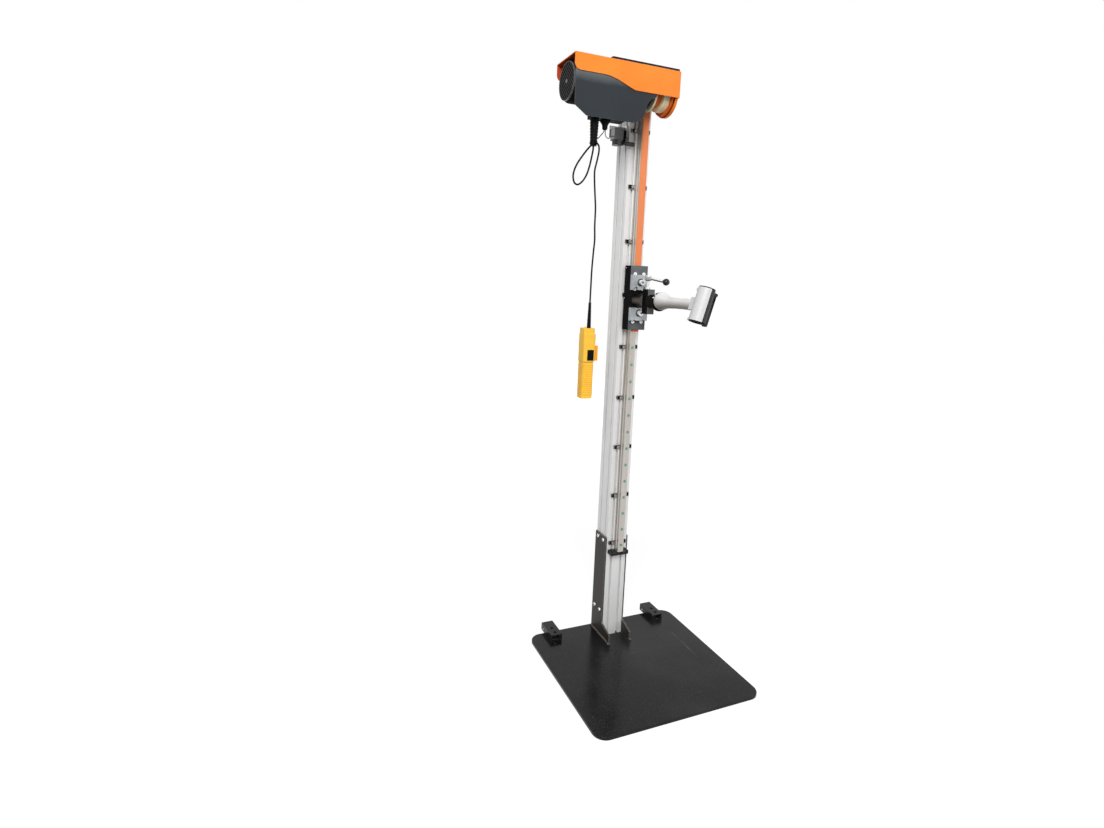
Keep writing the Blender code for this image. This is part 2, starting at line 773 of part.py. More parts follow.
def base_plate():
    """Floor plate with its corners rounded and the bracket screws' holes."""
    loops = [rounded((PLATE_LEFT, PLATE_RIGHT), (PLATE_FRONT, PLATE_REAR), PLATE_CORNER, 9)]
    for centre in bracket_centres():
        for position in (BRACKET_SCREW_FRONT, BRACKET_SCREW_REAR):
            loops.append(circle(centre, position, BRACKET_SCREW_SHANK + GAP, 10))
    return outline("base_plate", "plate_black", "XY", loops, (0, PLATE_THICKNESS))


def slot_side():
    """Outline points along the column's front face, from its left corner."""
    half = COLUMN_HALF
    points = [(-half, -half)]
    for centre in (-SLOT_OFFSET, SLOT_OFFSET):
        mouth = SLOT_MOUTH / 2
        wide = SLOT_WIDTH / 2
        lip = SLOT_LIP - half
        floor = SLOT_DEPTH - half
        left = [(centre - mouth, -half), (centre - mouth, lip), (centre - wide, lip),
                (centre - wide, floor - SLOT_CHAMFER), (centre - wide + SLOT_CHAMFER, floor)]
        right = [(2 * centre - x, y) for x, y in reversed(left)]
        points += left + right
    return points


def column_profile():
    """Extruded column: T-slots all round, a square core and four core bores."""
    points = []
    for quarter in range(4):
        turn = Matrix.Rotation(quarter * math.pi / 2, 2)
        points += [tuple(turn @ Vector(point)) for point in slot_side()]
    core = CORE_WIDTH / 2
    loops = [points, [(core, core), (-core, core), (-core, -core), (core, -core)]]
    for across in (-CORE_BORE_OFFSET, CORE_BORE_OFFSET):
        for deep in (-CORE_BORE_OFFSET, CORE_BORE_OFFSET):
            loops.append(circle(across, deep, CORE_BORE, 8))
    return outline("column_profile", "anodised", "XY", loops, (FLOOR_TOP, COLUMN_TOP))


def side_plates():
    """Both side plates, with gusset feet that reach forward, screw heads and weld beads."""
    front = -COLUMN_HALF
    shape = [(COLUMN_HALF, FLOOR_TOP), (COLUMN_HALF, SIDE_TOP), (front, SIDE_TOP), (front, GUSSET_ROOT),
             (front - GUSSET_REACH, GUSSET_TIP), (front - GUSSET_REACH, FLOOR_TOP)]
    inner = COLUMN_HALF + GAP
    outer = inner + SIDE_THICKNESS
    bead_z = FLOOR_TOP + WELD_RADIUS
    tip = front - GUSSET_REACH
    for name, side in (("side_plate_left", -1), ("side_plate_right", 1)):
        plate = outline(name, "dark_steel", "YZ", [shape], sorted((side * inner, side * outer)))
        extra = []
        for height in SIDE_SCREW_HEIGHTS:
            for deep in (-SLOT_OFFSET, SLOT_OFFSET):
                extra.append(screw("X", (deep, height), side * outer, side, SLOT_SCREW_HEAD,
                                   SLOT_SCREW_HEAD_HEIGHT, SLOT_SCREW_SHANK, SIDE_THICKNESS + SLOT_LIP))
        across = side * (outer + WELD_RADIUS * 0.6)
        extra.append(rod("bead", None, "Y", (across, bead_z), (tip, COLUMN_HALF - GAP), WELD_RADIUS, 8))
        ends = sorted((side * (inner + GAP), side * (outer + WELD_RADIUS)))
        extra.append(rod("bead", None, "X", (tip, bead_z), ends, WELD_RADIUS, 8))
        unite(plate, *extra)


# Rail


def clamp_height(index):
    """Height of one pair of rail clamps."""
    return CLAMP_TOP_HEIGHT - index * CLAMP_PITCH


def guide_rail():
    """Linear rail with a running groove in each side, and the pairs of clamps that hold it."""
    deep = RAIL_HALF - GROOVE_DEPTH
    groove_back = -COLUMN_HALF - GROOVE_START
    groove_front = groove_back - GROOVE_WIDTH
    right = [(RAIL_HALF, RAIL_BACK), (RAIL_HALF, groove_back), (deep, groove_back - GROOVE_DEPTH),
             (deep, groove_front + GROOVE_DEPTH), (RAIL_HALF, groove_front),
             (RAIL_HALF, RAIL_FRONT + RAIL_CHAMFER), (RAIL_HALF - RAIL_CHAMFER, RAIL_FRONT)]
    left = [(-x, y) for x, y in reversed(right)]
    rail = outline("guide_rail", "rail_steel", "XY", [right + left], (RAIL_BOTTOM, RAIL_TOP))
    clamps = []
    for side in (-1, 1):
        near, far = sorted((side * (RAIL_HALF - SCREW_BITE), side * CLAMP_OUTER))
        for index in range(CLAMP_COUNT):
            height = clamp_height(index)
            clamps.append(box("clamp", None, (near, far), (CLAMP_FRONT, RAIL_BACK),
                              (height - CLAMP_HEIGHT / 2, height + CLAMP_HEIGHT / 2)))
            clamps.append(button("Y", (side * SLOT_OFFSET, height), CLAMP_FRONT, -1, CLAMP_SCREW_HEAD,
                                 CLAMP_SCREW_HEAD_HEIGHT))
    unite(rail, *clamps)


def rail_end_stop():
    """Block under the rail that stops the carriage."""
    top = RAIL_BOTTOM - GAP
    block = rounded((-STOP_HALF_WIDTH, STOP_HALF_WIDTH), (top - STOP_HEIGHT, top), 0.002, 3)
    stop = outline("rail_end_stop", "black_oxide", "XZ", [block], (RAIL_BACK - STOP_DEPTH, RAIL_BACK))
    heads = []
    for side in (-1, 1):
        heads.append(button("Y", (side * SLOT_OFFSET, top - STOP_HEIGHT / 2), RAIL_BACK - STOP_DEPTH, -1,
                            CLAMP_SCREW_HEAD, CLAMP_SCREW_HEAD_HEIGHT, 12))
    unite(stop, *heads)


# Transport wheels


def bracket_centres():
    """Where the two wheel brackets stand across the plate."""
    return (WHEEL_SPACING_SHIFT - WHEEL_X, WHEEL_SPACING_SHIFT + WHEEL_X)


def wheel_axis():
    """Place of the wheels' common axis: its y and z."""
    rear = BRACKET_REAR - BRACKET_WALL + GAP
    return (rear - WHEEL_RADIUS, WHEEL_FLOOR_CLEARANCE + WHEEL_RADIUS)


def wheel_bracket(name, centre):
    """Folded bracket: a foot on the plate, two cheeks and a top strap over the wheel."""
    low = FLOOR_TOP
    rear = BRACKET_REAR
    foot = BRACKET_FLOOR_CLEARANCE
    edge = PLATE_REAR + GAP
    shape = [(BRACKET_FRONT, low), (edge, low), (edge + 0.002, foot), (rear - 0.003, foot),
             (rear, foot + 0.004),
             (rear, BRACKET_TOP - 0.003), (rear - 0.003, BRACKET_TOP), (BRACKET_FRONT + 0.003, BRACKET_TOP),
             (BRACKET_FRONT, BRACKET_TOP - 0.003)]
    half = BRACKET_WIDTH / 2
    bracket = outline(name, "black_oxide", "YZ", [shape], (centre - half, centre + half))
    inner = half - BRACKET_WALL
    ceiling = BRACKET_TOP - BRACKET_WALL
    room = box("room", None, (centre - inner, centre + inner), (BRACKET_FRONT - 0.01, BRACKET_REAR + 0.01),
               (low + BRACKET_WALL, ceiling))
    pocket = box("pocket", None, (centre - inner, centre + inner),
                 (PLATE_REAR + 2 * GAP, BRACKET_REAR + 0.01),
                 (-0.01, ceiling - GAP))
    cut(bracket, unite(room, pocket))
    holes = [(centre, BRACKET_SCREW_FRONT), (centre, BRACKET_SCREW_REAR)]
    drill(bracket, "Z", holes, (ceiling - 0.002, BRACKET_TOP + 0.002), BRACKET_HOLE, 12)
    for across in holes:
        unite(bracket, screw("Z", across, low + BRACKET_WALL, 1, BRACKET_SCREW_HEAD,
                             BRACKET_SCREW_HEAD_HEIGHT,
                             BRACKET_SCREW_SHANK, low + BRACKET_WALL - GAP))
    drill(bracket, "X", [wheel_axis()], (centre - half - 0.002, centre + half + 0.002), AXLE_RADIUS + GAP,
          12)
    return bracket


def transport_wheels():
    """Brackets, wheels and axles behind the plate."""
    half = BRACKET_WIDTH / 2
    for name, centre in zip(("left", "right"), bracket_centres()):
        wheel_bracket("wheel_bracket_" + name, centre)
        spin = joint("wheel_axis_" + name, (centre, *wheel_axis()))
        wheel = ring("transport_wheel_" + name, "wheel_rubber", "X", wheel_axis(),
                     (centre - WHEEL_WIDTH / 2, centre + WHEEL_WIDTH / 2), WHEEL_RADIUS, AXLE_RADIUS + GAP,
                     20)
        hang(spin, wheel)
        rod("wheel_axle_" + name, "bright_steel", "X", wheel_axis(), (centre - half, centre + half),
            AXLE_RADIUS, 12)


# Winch


def skirt_line():
    """Lower edge of the cover's long sides, from right to left, as x and z."""
    points = [(COVER_RIGHT + 0.02, SKIRT_STRAIGHT_Z), (SKIRT_WAVE_RIGHT, SKIRT_STRAIGHT_Z)]
    start, end, count = SKIRT_WAVE_RIGHT, SKIRT_WAVE_LEFT, 9
    for index in range(1, count + 1):
        share = index / count
        x = start + (end - start) * share
        ease = math.sin(share * math.pi / 2) ** 1.2
        points.append((x, SKIRT_STRAIGHT_Z + (SKIRT_CREST_Z - SKIRT_STRAIGHT_Z) * ease))
    corner = SKIRT_CORNER
    points += arc(COVER_LEFT + corner, SKIRT_CREST_Z + corner, corner, -math.pi / 2, -math.pi, 6)
    return points


def winch_cover():
    """Folded sheet over the winch, open to the left and below, with a round lobe at its right end."""
    shape = bmesh.new()
    bmesh.ops.create_cube(shape, size=1.0)
    bottom = WINCH_Z - COVER_LOBE
    size = (COVER_RIGHT - COVER_LEFT, 2 * COVER_HALF_DEPTH, COLUMN_TOP - bottom)
    bmesh.ops.scale(shape, vec=size, verts=shape.verts)
    open_faces = [face for face in shape.faces if face.normal.z < -0.5 or face.normal.x < -0.5]
    bmesh.ops.delete(shape, geom=open_faces, context="FACES")
    middle = ((COVER_LEFT + COVER_RIGHT) / 2, WINCH_Y, (COLUMN_TOP + bottom) / 2)
    cover = from_bmesh(shape, "winch_cover", "cover_orange", middle)
    shell = cover.modifiers.new("Sheet", "SOLIDIFY")
    shell.thickness = COVER_WALL
    shell.offset = -1
    shell.use_even_offset = True
    below = skirt_line() + [(COVER_LEFT - 0.03, SKIRT_CREST_Z + SKIRT_CORNER),
                            (COVER_LEFT - 0.03, bottom - 0.03),
                            (COVER_RIGHT + 0.02, bottom - 0.03)]
    span = (COVER_NEAR - 0.02, COVER_FAR + 0.02)
    cut(cover, outline("under_skirt", None, "XZ", [below], span))
    inner = COVER_LOBE - COVER_WALL
    face = COVER_RIGHT - 0.0002
    back = COVER_RIGHT - COVER_WALL + 0.0002
    lip = COVER_RIGHT - COVER_LIP
    profile = [(0, face), (COVER_LOBE, face), (COVER_LOBE, lip), (inner, lip), (inner, back), (0, back)]
    lobe = turned("lobe", "cover_orange", "X", (WINCH_Y, WINCH_Z), profile, 40)
    cut(lobe, box("above_lobe", None, (0, COVER_RIGHT + 0.02), (COVER_NEAR - 0.02, COVER_FAR + 0.02),
                  (SKIRT_STRAIGHT_Z + 0.006, COLUMN_TOP + 0.05)))
    unite(cover, lobe)
    drill(cover, "Z", hanger_screw_places(), (COVER_CEILING - 0.01, COLUMN_TOP + 0.01),
          LID_SCREW_SHANK + GAP, 10)
    return cover


def hanger_screw_places():
    """Where the screws go down into the winch hangers."""
    places = []
    for centre in HANGER_CENTRES:
        for side in (-1, 1):
            places.append((centre, WINCH_Y + side * HANGER_DEPTH * 0.38))
    return places


def core_screw_places():
    """Where the screws go down into the column's core bores."""
    places = []
    for across in (-CORE_BORE_OFFSET, CORE_BORE_OFFSET):
        for deep in (-CORE_BORE_OFFSET, CORE_BORE_OFFSET):
            places.append((across, deep))
    return places


def mounting_plate():
    """Plate on the column's top that carries the winch, with its screws."""
    loops = [rounded((LID_LEFT, LID_RIGHT), (COVER_NEAR, COLUMN_HALF), 0.003, 3)]
    plate = outline("mounting_plate", "carriage_black", "XY", loops, (LID_BOTTOM, LID_TOP))
    hanger_length = LID_THICKNESS + COVER_WALL + 2 * GAP + 0.005
    lengths = ((core_screw_places(), LID_SCREW_LENGTH), (hanger_screw_places(), hanger_length))
    for places, length in lengths:
        for across in places:
            unite(plate, screw("Z", across, LID_TOP, 1, LID_SCREW_HEAD, LID_SCREW_HEAD_HEIGHT,
                               LID_SCREW_SHANK, length))


def winch_hangers():
    """Saddles under the cover that hold the motor and the gearbox."""
    top = COVER_CEILING - GAP
    low = WINCH_Z + MOTOR_RADIUS - HANGER_WRAP
    names = ("motor_hanger", "gearbox_hanger")
    for name, centre, radius in zip(names, HANGER_CENTRES, (MOTOR_RADIUS, GEARBOX_RADIUS)):
        hanger = box(name, "motor_grey", (centre - HANGER_WIDTH / 2, centre + HANGER_WIDTH / 2),
                     (WINCH_Y - HANGER_DEPTH / 2, WINCH_Y + HANGER_DEPTH / 2), (low, top))
        saddle = rod("saddle", None, "X", (WINCH_Y, WINCH_Z), (centre - 0.03, centre + 0.03), radius + GAP,
                     48)
        cut(hanger, saddle)
        places = [(centre, y) for x, y in hanger_screw_places() if x == centre]
        drill(hanger, "Z", places, (top - 0.0055, top + 0.01), LID_SCREW_SHANK + GAP, 10)


def panel_outline():
    """Edge of the side panel as x and z, from its lower left, with round corners and a drum cut-out."""
    corner_z = PANEL_BOTTOM + PANEL_CORNER_RISE
    points = [(PANEL_LEFT, corner_z)]
    points += arc(PANEL_LEFT + PANEL_CORNER, corner_z, PANEL_CORNER, math.pi, 1.25 * math.pi, 4)
    points += arc(PANEL_LEFT + PANEL_BEND_IN, PANEL_BOTTOM + PANEL_BEND, PANEL_BEND, 1.25 * math.pi,
                  1.5 * math.pi, 4)
    points += [(PANEL_CURVE_X - PANEL_FLAT, PANEL_BOTTOM)]
    points += arc(PANEL_CURVE_X, PANEL_BOTTOM + PANEL_CURVE, PANEL_CURVE, 1.5 * math.pi, 1.96 * math.pi, 9)
    points += arc(DRUM_NOTCH_X, WINCH_Z - DRUM_NOTCH_DROP, DRUM_NOTCH, 0.86 * math.pi, 0.60 * math.pi, 5)
    points += [(PANEL_RIGHT, SKIRT_STRAIGHT_Z + PANEL_SKIRT_LAP), (PANEL_RIGHT, PANEL_TOP),
               (PANEL_LEFT, PANEL_TOP)]
    return points


def side_panel():
    """Panel behind the cover's near skirt."""
    near = COVER_NEAR + COVER_WALL + GAP
    outline("side_panel", "panel_slate", "XZ", [panel_outline()], (near, near + PANEL_THICKNESS))


def motor_body():
    """Ribbed motor with the end bell that carries the cowl."""
    points = []
    root = MOTOR_RADIUS - MOTOR_RIB_HEIGHT
    step = 2 * math.pi / MOTOR_RIB_COUNT
    for index in range(MOTOR_RIB_COUNT):
        angle = index * step
        for share, radius in ((0.0, root), (0.3, root), (0.4, MOTOR_RADIUS), (0.9, MOTOR_RADIUS)):
            turn = angle + share * step
            points.append((WINCH_Y + radius * math.cos(turn), WINCH_Z + radius * math.sin(turn)))
    body = outline("motor_body", "motor_grey", "YZ", [points], (MOTOR_LEFT - 0.004, MOTOR_RIGHT - GAP))
    bore = MOTOR_SHAFT + RUNNING_GAP
    left = MOTOR_LEFT - BELL_THICKNESS
    seat = COWL_RADIUS - COWL_WALL - GAP
    profile = [(bore, MOTOR_LEFT), (seat, MOTOR_LEFT), (seat, left), (bore, left)]
    bell = turned("bell", None, "X", (WINCH_Y, WINCH_Z), profile, 28, closed=True)
    unite(body, bell)
    drill(body, "X", [(WINCH_Y, WINCH_Z)], (left - 0.01, MOTOR_LEFT + 0.010), bore, 16)


def fan_cowl():
    """Thin cowl over the motor's fan, narrowing towards its grille."""
    right = MOTOR_LEFT - GAP
    outer = [(COWL_RADIUS, right), (COWL_RADIUS, COWL_LEFT + 0.012),
             (COWL_RADIUS - 0.0015, COWL_LEFT + 0.006), (COWL_MOUTH, COWL_LEFT)]
    inner = [(radius - COWL_WALL, position) for radius, position in reversed(outer)]
    turned("fan_cowl", "motor_grey", "X", (WINCH_Y, WINCH_Z), outer + inner, 28, closed=True)


def fan_grille():
    """Round grille with slanting slots at the cowl's mouth."""
    left = COWL_LEFT - GAP - GRILLE_THICKNESS
    grille = rod("fan_grille", "black_plastic", "X", (WINCH_Y, WINCH_Z), (left, COWL_LEFT - GAP),
                 COWL_MOUTH, 36)
    inner = COWL_MOUTH - GRILLE_RIM
    pitch = GRILLE_SLOT + GRILLE_BAR
    slots = []
    for index in range(-5, 6):
        offset = index * pitch
        half = math.sqrt(max(inner ** 2 - (abs(offset) + GRILLE_SLOT / 2) ** 2, 0.0001))
        slot = box("slot", None, (left - 0.01, COWL_LEFT + 0.01), (-half, half),
                   (offset - GRILLE_SLOT / 2, offset + GRILLE_SLOT / 2))
        height = slot.location.z
        slot.location = (slot.location.x, WINCH_Y - height * math.sin(math.pi / 4),
                         WINCH_Z + height * math.cos(math.pi / 4))
        slot.rotation_euler = (math.pi / 4, 0, 0)
        slots.append(slot)
    cut(grille, group("grille_slots", None, slots))
    centre = rod("centre", None, "X", (WINCH_Y, WINCH_Z), (left, COWL_LEFT - GAP), 0.006, 12)
    unite(grille, centre)


def motor_fan():
    """Fan on the motor's shaft end."""
    hub = rod("motor_fan", "black_plastic", "X", (WINCH_Y, WINCH_Z), (FAN_LEFT, FAN_LEFT + FAN_WIDTH),
              0.016, 20)
    blades = []
    for index in range(FAN_BLADES):
        angle = 2 * math.pi * index / FAN_BLADES
        blade = box("blade", None, (FAN_LEFT + 0.001, FAN_LEFT + FAN_WIDTH - 0.001), (-0.0015, 0.0015),
                    (0.010, FAN_RADIUS))
        reach = blade.location.z
        blade.location = (blade.location.x, WINCH_Y - reach * math.sin(angle),
                          WINCH_Z + reach * math.cos(angle))
        blade.rotation_euler = (angle, 0, 0)
        blades.append(blade)
    shaft = rod("shaft", None, "X", (WINCH_Y, WINCH_Z), (FAN_LEFT + 0.01, MOTOR_LEFT + 0.008), MOTOR_SHAFT,
                12)
    unite(hub, group("fan_blades", None, blades), shaft)
    hang(joint("motor_axis", (FAN_LEFT, WINCH_Y, WINCH_Z)), hub)


def gearbox():
    """Gearbox between the motor and the drum."""
    left, right, radius = MOTOR_RIGHT, GEARBOX_RIGHT, GEARBOX_RADIUS
    profile = [(0, right), (0.018, right), (0.018, right - 0.006), (radius, right - 0.006),
               (radius, right - 0.014), (radius - 0.004, right - 0.018), (radius - 0.004, left + 0.038),
               (radius, left + 0.040), (radius, left + 0.004), (radius - 0.006, left), (0, left)]
    turned("gearbox", "motor_grey", "X", (WINCH_Y, WINCH_Z), profile, 24)


def drum():
    """Drum with its shaft, hub, side flange and strap winding, and the shaft's end bearing."""
    axis = joint("drum_axis", (0, WINCH_Y, WINCH_Z))
    centre = (WINCH_Y, WINCH_Z)
    bearing_left = RIM_RIGHT + BEARING_ROOM
    bearing_right = COVER_RIGHT - COVER_WALL - GAP
    bore = SHAFT_RADIUS + GAP
    shaft = rod("drum_shaft", "bright_steel", "X", centre, (GEARBOX_RIGHT + GAP, bearing_right - 0.0005),
                SHAFT_RADIUS, 20)
    flange_right = DRUM_FLANGE_LEFT + DRUM_FLANGE_THICKNESS
    seam = (HUB_LEFT + HUB_RIGHT) / 2 - 0.004
    profile = [(HUB_RADIUS, HUB_RIGHT), (HUB_RADIUS, seam + HUB_SEAM),
               (HUB_RADIUS - HUB_SEAM, seam + HUB_SEAM),
               (HUB_RADIUS - HUB_SEAM, seam), (HUB_RADIUS, seam), (HUB_RADIUS, HUB_LEFT),
               (DRUM_CORE, HUB_LEFT), (DRUM_CORE, flange_right), (DRUM_FLANGE_RADIUS, flange_right),
               (DRUM_FLANGE_RADIUS, DRUM_FLANGE_LEFT), (bore, DRUM_FLANGE_LEFT), (bore, HUB_RIGHT)]
    hub = turned("drum_hub", "hub_cream", "X", centre, profile, 28, closed=True)
    flange = ring("drum_flange", "cover_orange", "X", centre, (HUB_RIGHT + GAP, RIM_RIGHT), RIM_RADIUS,
                  bore, 32)
    winding = ring("strap_winding", "strap_orange", "X", centre, (flange_right + GAP, HUB_LEFT - GAP),
                   WINDING_RADIUS, DRUM_CORE + GAP, 36)
    ring("drum_bearing", "bright_steel", "X", centre, (bearing_left, bearing_right), BEARING_OUTER, bore,
         24)
    hang(axis, shaft, hub, flange, winding)


# Controls under the winch


def control_box():
    """Box under the motor with a saddle against the motor's underside."""
    cabinet = box("control_box", "black_plastic", (BOX_LEFT, BOX_RIGHT), (BOX_FRONT, BOX_REAR),
                  (BOX_BOTTOM, BOX_TOP))
    saddle = box("saddle", None, (BOX_SADDLE_LEFT, BOX_SADDLE_RIGHT), (BOX_REAR - 0.030, BOX_REAR),
                 (BOX_TOP - 0.005, WINCH_Z - MOTOR_RADIUS + 0.008))
    unite(cabinet, saddle)
    room = rod("motor_room", None, "X", (WINCH_Y, WINCH_Z),
               (BOX_SADDLE_LEFT - 0.02, BOX_SADDLE_RIGHT + 0.02),
               MOTOR_RADIUS + GAP, 48)
    cut(cabinet, room)


def ribbed_sleeve(name, finish, across, top, bottom, top_radius, bottom_radius, ribs, sides):
    """A tapered sleeve with ribs round it."""
    profile = [(0, top)]
    length = (top - bottom) / ribs
    for index in range(ribs):
        start = top - index * length
        for share, shrink in ((0.0, 0.0), (0.55, 0.0), (0.62, 0.0009), (0.95, 0.0009)):
            height = start - share * length
            radius = top_radius + (bottom_radius - top_radius) * (top - height) / (top - bottom)
            profile.append((radius - shrink, height))
    profile += [(bottom_radius, bottom), (0, bottom)]
    return turned(name, finish, "Z", across, profile, sides)


def cord_fittings():
    """Boot with its tie, gland and the two thin wires."""
    top = BOX_BOTTOM - GAP
    boot = ribbed_sleeve("cord_boot", "black_plastic", (BOOT_X, BOOT_Y), top, BOOT_BOTTOM, BOOT_TOP_RADIUS,
                         BOOT_BOTTOM_RADIUS, BOOT_RIBS, 14)
    band = ring("band", None, "Z", (BOOT_X, BOOT_Y), (BOOT_BOTTOM + BAND_LOW, BOOT_BOTTOM + BAND_HIGH),
                BOOT_BOTTOM_RADIUS + 0.0016,
                BOOT_BOTTOM_RADIUS - 0.002, 16)
    eye_span = (BOOT_X + 0.0005, BOOT_X + 0.0025)
    eye = ring("eye", None, "X", (BOOT_Y - EYE_AHEAD, BOOT_BOTTOM + EYE_RISE), eye_span, EYE_RADIUS,
               CORD_DIAMETER / 2 + EYE_ROOM, 14)
    unite(boot, band, eye)
    height = top - GLAND_BOTTOM
    profile = [(0, top), (GLAND_FLANGE, top), (GLAND_FLANGE, top - height * 0.12),
               (GLAND_FLANGE - 0.004, top - height * 0.30), (GLAND_RADIUS, top - height * 0.52),
               (GLAND_RADIUS - 0.0004, top - height * 0.84), (GLAND_RADIUS - 0.002, GLAND_BOTTOM + 0.001),
               (GLAND_RADIUS - 0.004, GLAND_BOTTOM), (0, GLAND_BOTTOM)]
    turned("cable_gland", "black_plastic", "Z", (GLAND_X, BOOT_Y), profile, 12)
    start = GLAND_BOTTOM - 3 * GAP
    boot_side = BOOT_X + BOOT_BOTTOM_RADIUS + 0.0024
    to_boot = [(GLAND_X - 0.0022, BOOT_Y, start), (GLAND_X - 0.0024, BOOT_Y, start - 0.004),
               (GLAND_X - 0.0100, BOOT_Y, start - 0.0130), (GLAND_X - 0.0175, BOOT_Y, start - 0.0220),
               (boot_side, BOOT_Y, BOOT_BOTTOM + 0.0225)]
    to_switch = [(GLAND_X + 0.0022, BOOT_Y, start), (GLAND_X + 0.0024, BOOT_Y, start - 0.005),
                 (-0.1745, -0.1265, GLAND_BOTTOM - 0.0110), (-0.1600, -0.1080, GLAND_BOTTOM - 0.0125),
                 (-0.1400, -0.0800, GLAND_BOTTOM - 0.0080), (-0.1130, -0.0430, SWITCH_BOTTOM - 0.0010),
                 (-0.0970, -0.0200, SWITCH_BOTTOM + 0.0090),
                 (SWITCH_LEFT - 3 * GAP, -0.012, SWITCH_BOTTOM + 0.0120)]
    cord("boot_wire", "cord_black", to_boot, WIRE_DIAMETER, 0.005)
    cord("switch_wire", "cord_black", to_switch, WIRE_DIAMETER, 0.0060)


def limit_switch():
    """Limit switch that the carriage lifts at its top end: bracket, body with round head, and lever."""
    wall = -COLUMN_HALF - GAP
    plate_y = SWITCH_REAR + GAP
    plate_low = SWITCH_BOTTOM + 0.012
    bracket = box("limit_switch_bracket", "bright_steel", (SWITCH_LEFT - SWITCH_PLATE_REACH, wall),
                  (plate_y, plate_y + SWITCH_PLATE), (plate_low, SWITCH_BRACKET_TOP))
    foot = box("foot", None, (wall - SWITCH_PLATE, wall), (SWITCH_FRONT + 0.004, plate_y + SWITCH_PLATE),
               (plate_low, SWITCH_BRACKET_TOP))
    unite(bracket, foot)
    body = box("limit_switch_body", "switch_grey", (SWITCH_LEFT, SWITCH_RIGHT), (SWITCH_FRONT, SWITCH_REAR),
               (SWITCH_BOTTOM, SWITCH_TOP))
    side = box("side", None, (SWITCH_RIGHT - 0.001, wall - SWITCH_PLATE - SWITCH_SIDE_ROOM),
               (SWITCH_FRONT + 0.001, SWITCH_REAR - 0.006),
               (SWITCH_HEAD_BOTTOM + 0.003, SWITCH_TOP - SWITCH_SIDE_DROP))
    middle_x = (SWITCH_LEFT + SWITCH_RIGHT) / 2
    middle_y = (SWITCH_FRONT + SWITCH_REAR) / 2
    head = rod("head", None, "Z", (middle_x, middle_y), (SWITCH_HEAD_BOTTOM, SWITCH_BOTTOM + 0.002),
               SWITCH_HEAD_RADIUS, 20)
    spindle_ends = (middle_x - SPINDLE_HALF, middle_x + SPINDLE_HALF)
    nose = box("nose", None, (middle_x - NOSE_HALF, middle_x + NOSE_HALF),
               (SWITCH_AXIS_Y - 0.004, middle_y),
               (SWITCH_AXIS_Z - 0.004, SWITCH_BOTTOM + 0.001))
    spindle = rod("spindle", None, "X", (SWITCH_AXIS_Y, SWITCH_AXIS_Z), spindle_ends, SPINDLE_RADIUS, 10)
    unite(body, side, head, nose, spindle)
    arm_left = middle_x + NOSE_HALF + RUNNING_GAP + 0.0002
    arm_right = arm_left + SWITCH_LEVER_THICKNESS
    reach = math.hypot(SWITCH_ROLLER_Y - SWITCH_AXIS_Y, SWITCH_ROLLER_Z - SWITCH_AXIS_Z)
    slope = math.atan2(SWITCH_ROLLER_Z - SWITCH_AXIS_Z, SWITCH_ROLLER_Y - SWITCH_AXIS_Y)
    points = arc(0, 0, SWITCH_LEVER_RADIUS, math.pi / 2, 1.5 * math.pi, 7)
    points = [(-x, y) for x, y in points]
    far_end = [(-reach + x, y) for x, y in arc(0, 0, SWITCH_LEVER_RADIUS, math.pi / 2, 1.5 * math.pi, 7)]
    bar = [*reversed(points), *far_end]
    turn = Matrix.Rotation(slope - math.pi, 2)
    moved = [turn @ Vector(point) for point in bar]
    moved = [(SWITCH_AXIS_Y + point.x, SWITCH_AXIS_Z + point.y) for point in moved]
    hole = circle(SWITCH_AXIS_Y, SWITCH_AXIS_Z, SPINDLE_RADIUS + GAP, 10)
    lever = outline("limit_switch_lever", "black_oxide", "YZ", [moved, hole], (arm_left, arm_right))
    roller = rod("roller", None, "X", (SWITCH_ROLLER_Y, SWITCH_ROLLER_Z),
                 (arm_right - 0.001, 0.0015 - CARRIAGE_HALF_WIDTH),
                 SWITCH_ROLLER_RADIUS, 14)
    unite(lever, roller)
    hang(joint("limit_switch_axis", (middle_x, SWITCH_AXIS_Y, SWITCH_AXIS_Z)), lever)


# Strap


def strap():
    """Lifting strap from the drum's rear side down into the carriage."""
    half = STRAP_WIDTH / 2
    bottom = CARRIAGE_TOP - ANCHOR_SLOT + GAP
    return box("strap", "strap_orange", (-half, half), (STRAP_Y - STRAP_THICKNESS / 2,
                                                        STRAP_Y + STRAP_THICKNESS / 2),
               (bottom, STRAP_TOP))


# Carriage


def notched_edge(start, end, height, centre_z, inward):
    """Points along a clamp block's edge with a scallop round each face screw."""
    points = []
    rise = height - centre_z
    half = math.sqrt(SCALLOP_RADIUS ** 2 - rise ** 2)
    direction = 1 if end > start else -1
    for centre in (-direction * FACE_SCREW_X, direction * FACE_SCREW_X):
        for index in range(7):
            share = index / 6
            angle = math.pi - share * math.pi
            x = centre + direction * half * math.cos(angle)
            depth = math.sqrt(max(SCALLOP_RADIUS ** 2 - (x - centre) ** 2, 0))
            z = centre_z + inward * depth
            points.append((x, height if index in (0, 6) else z))
    return points


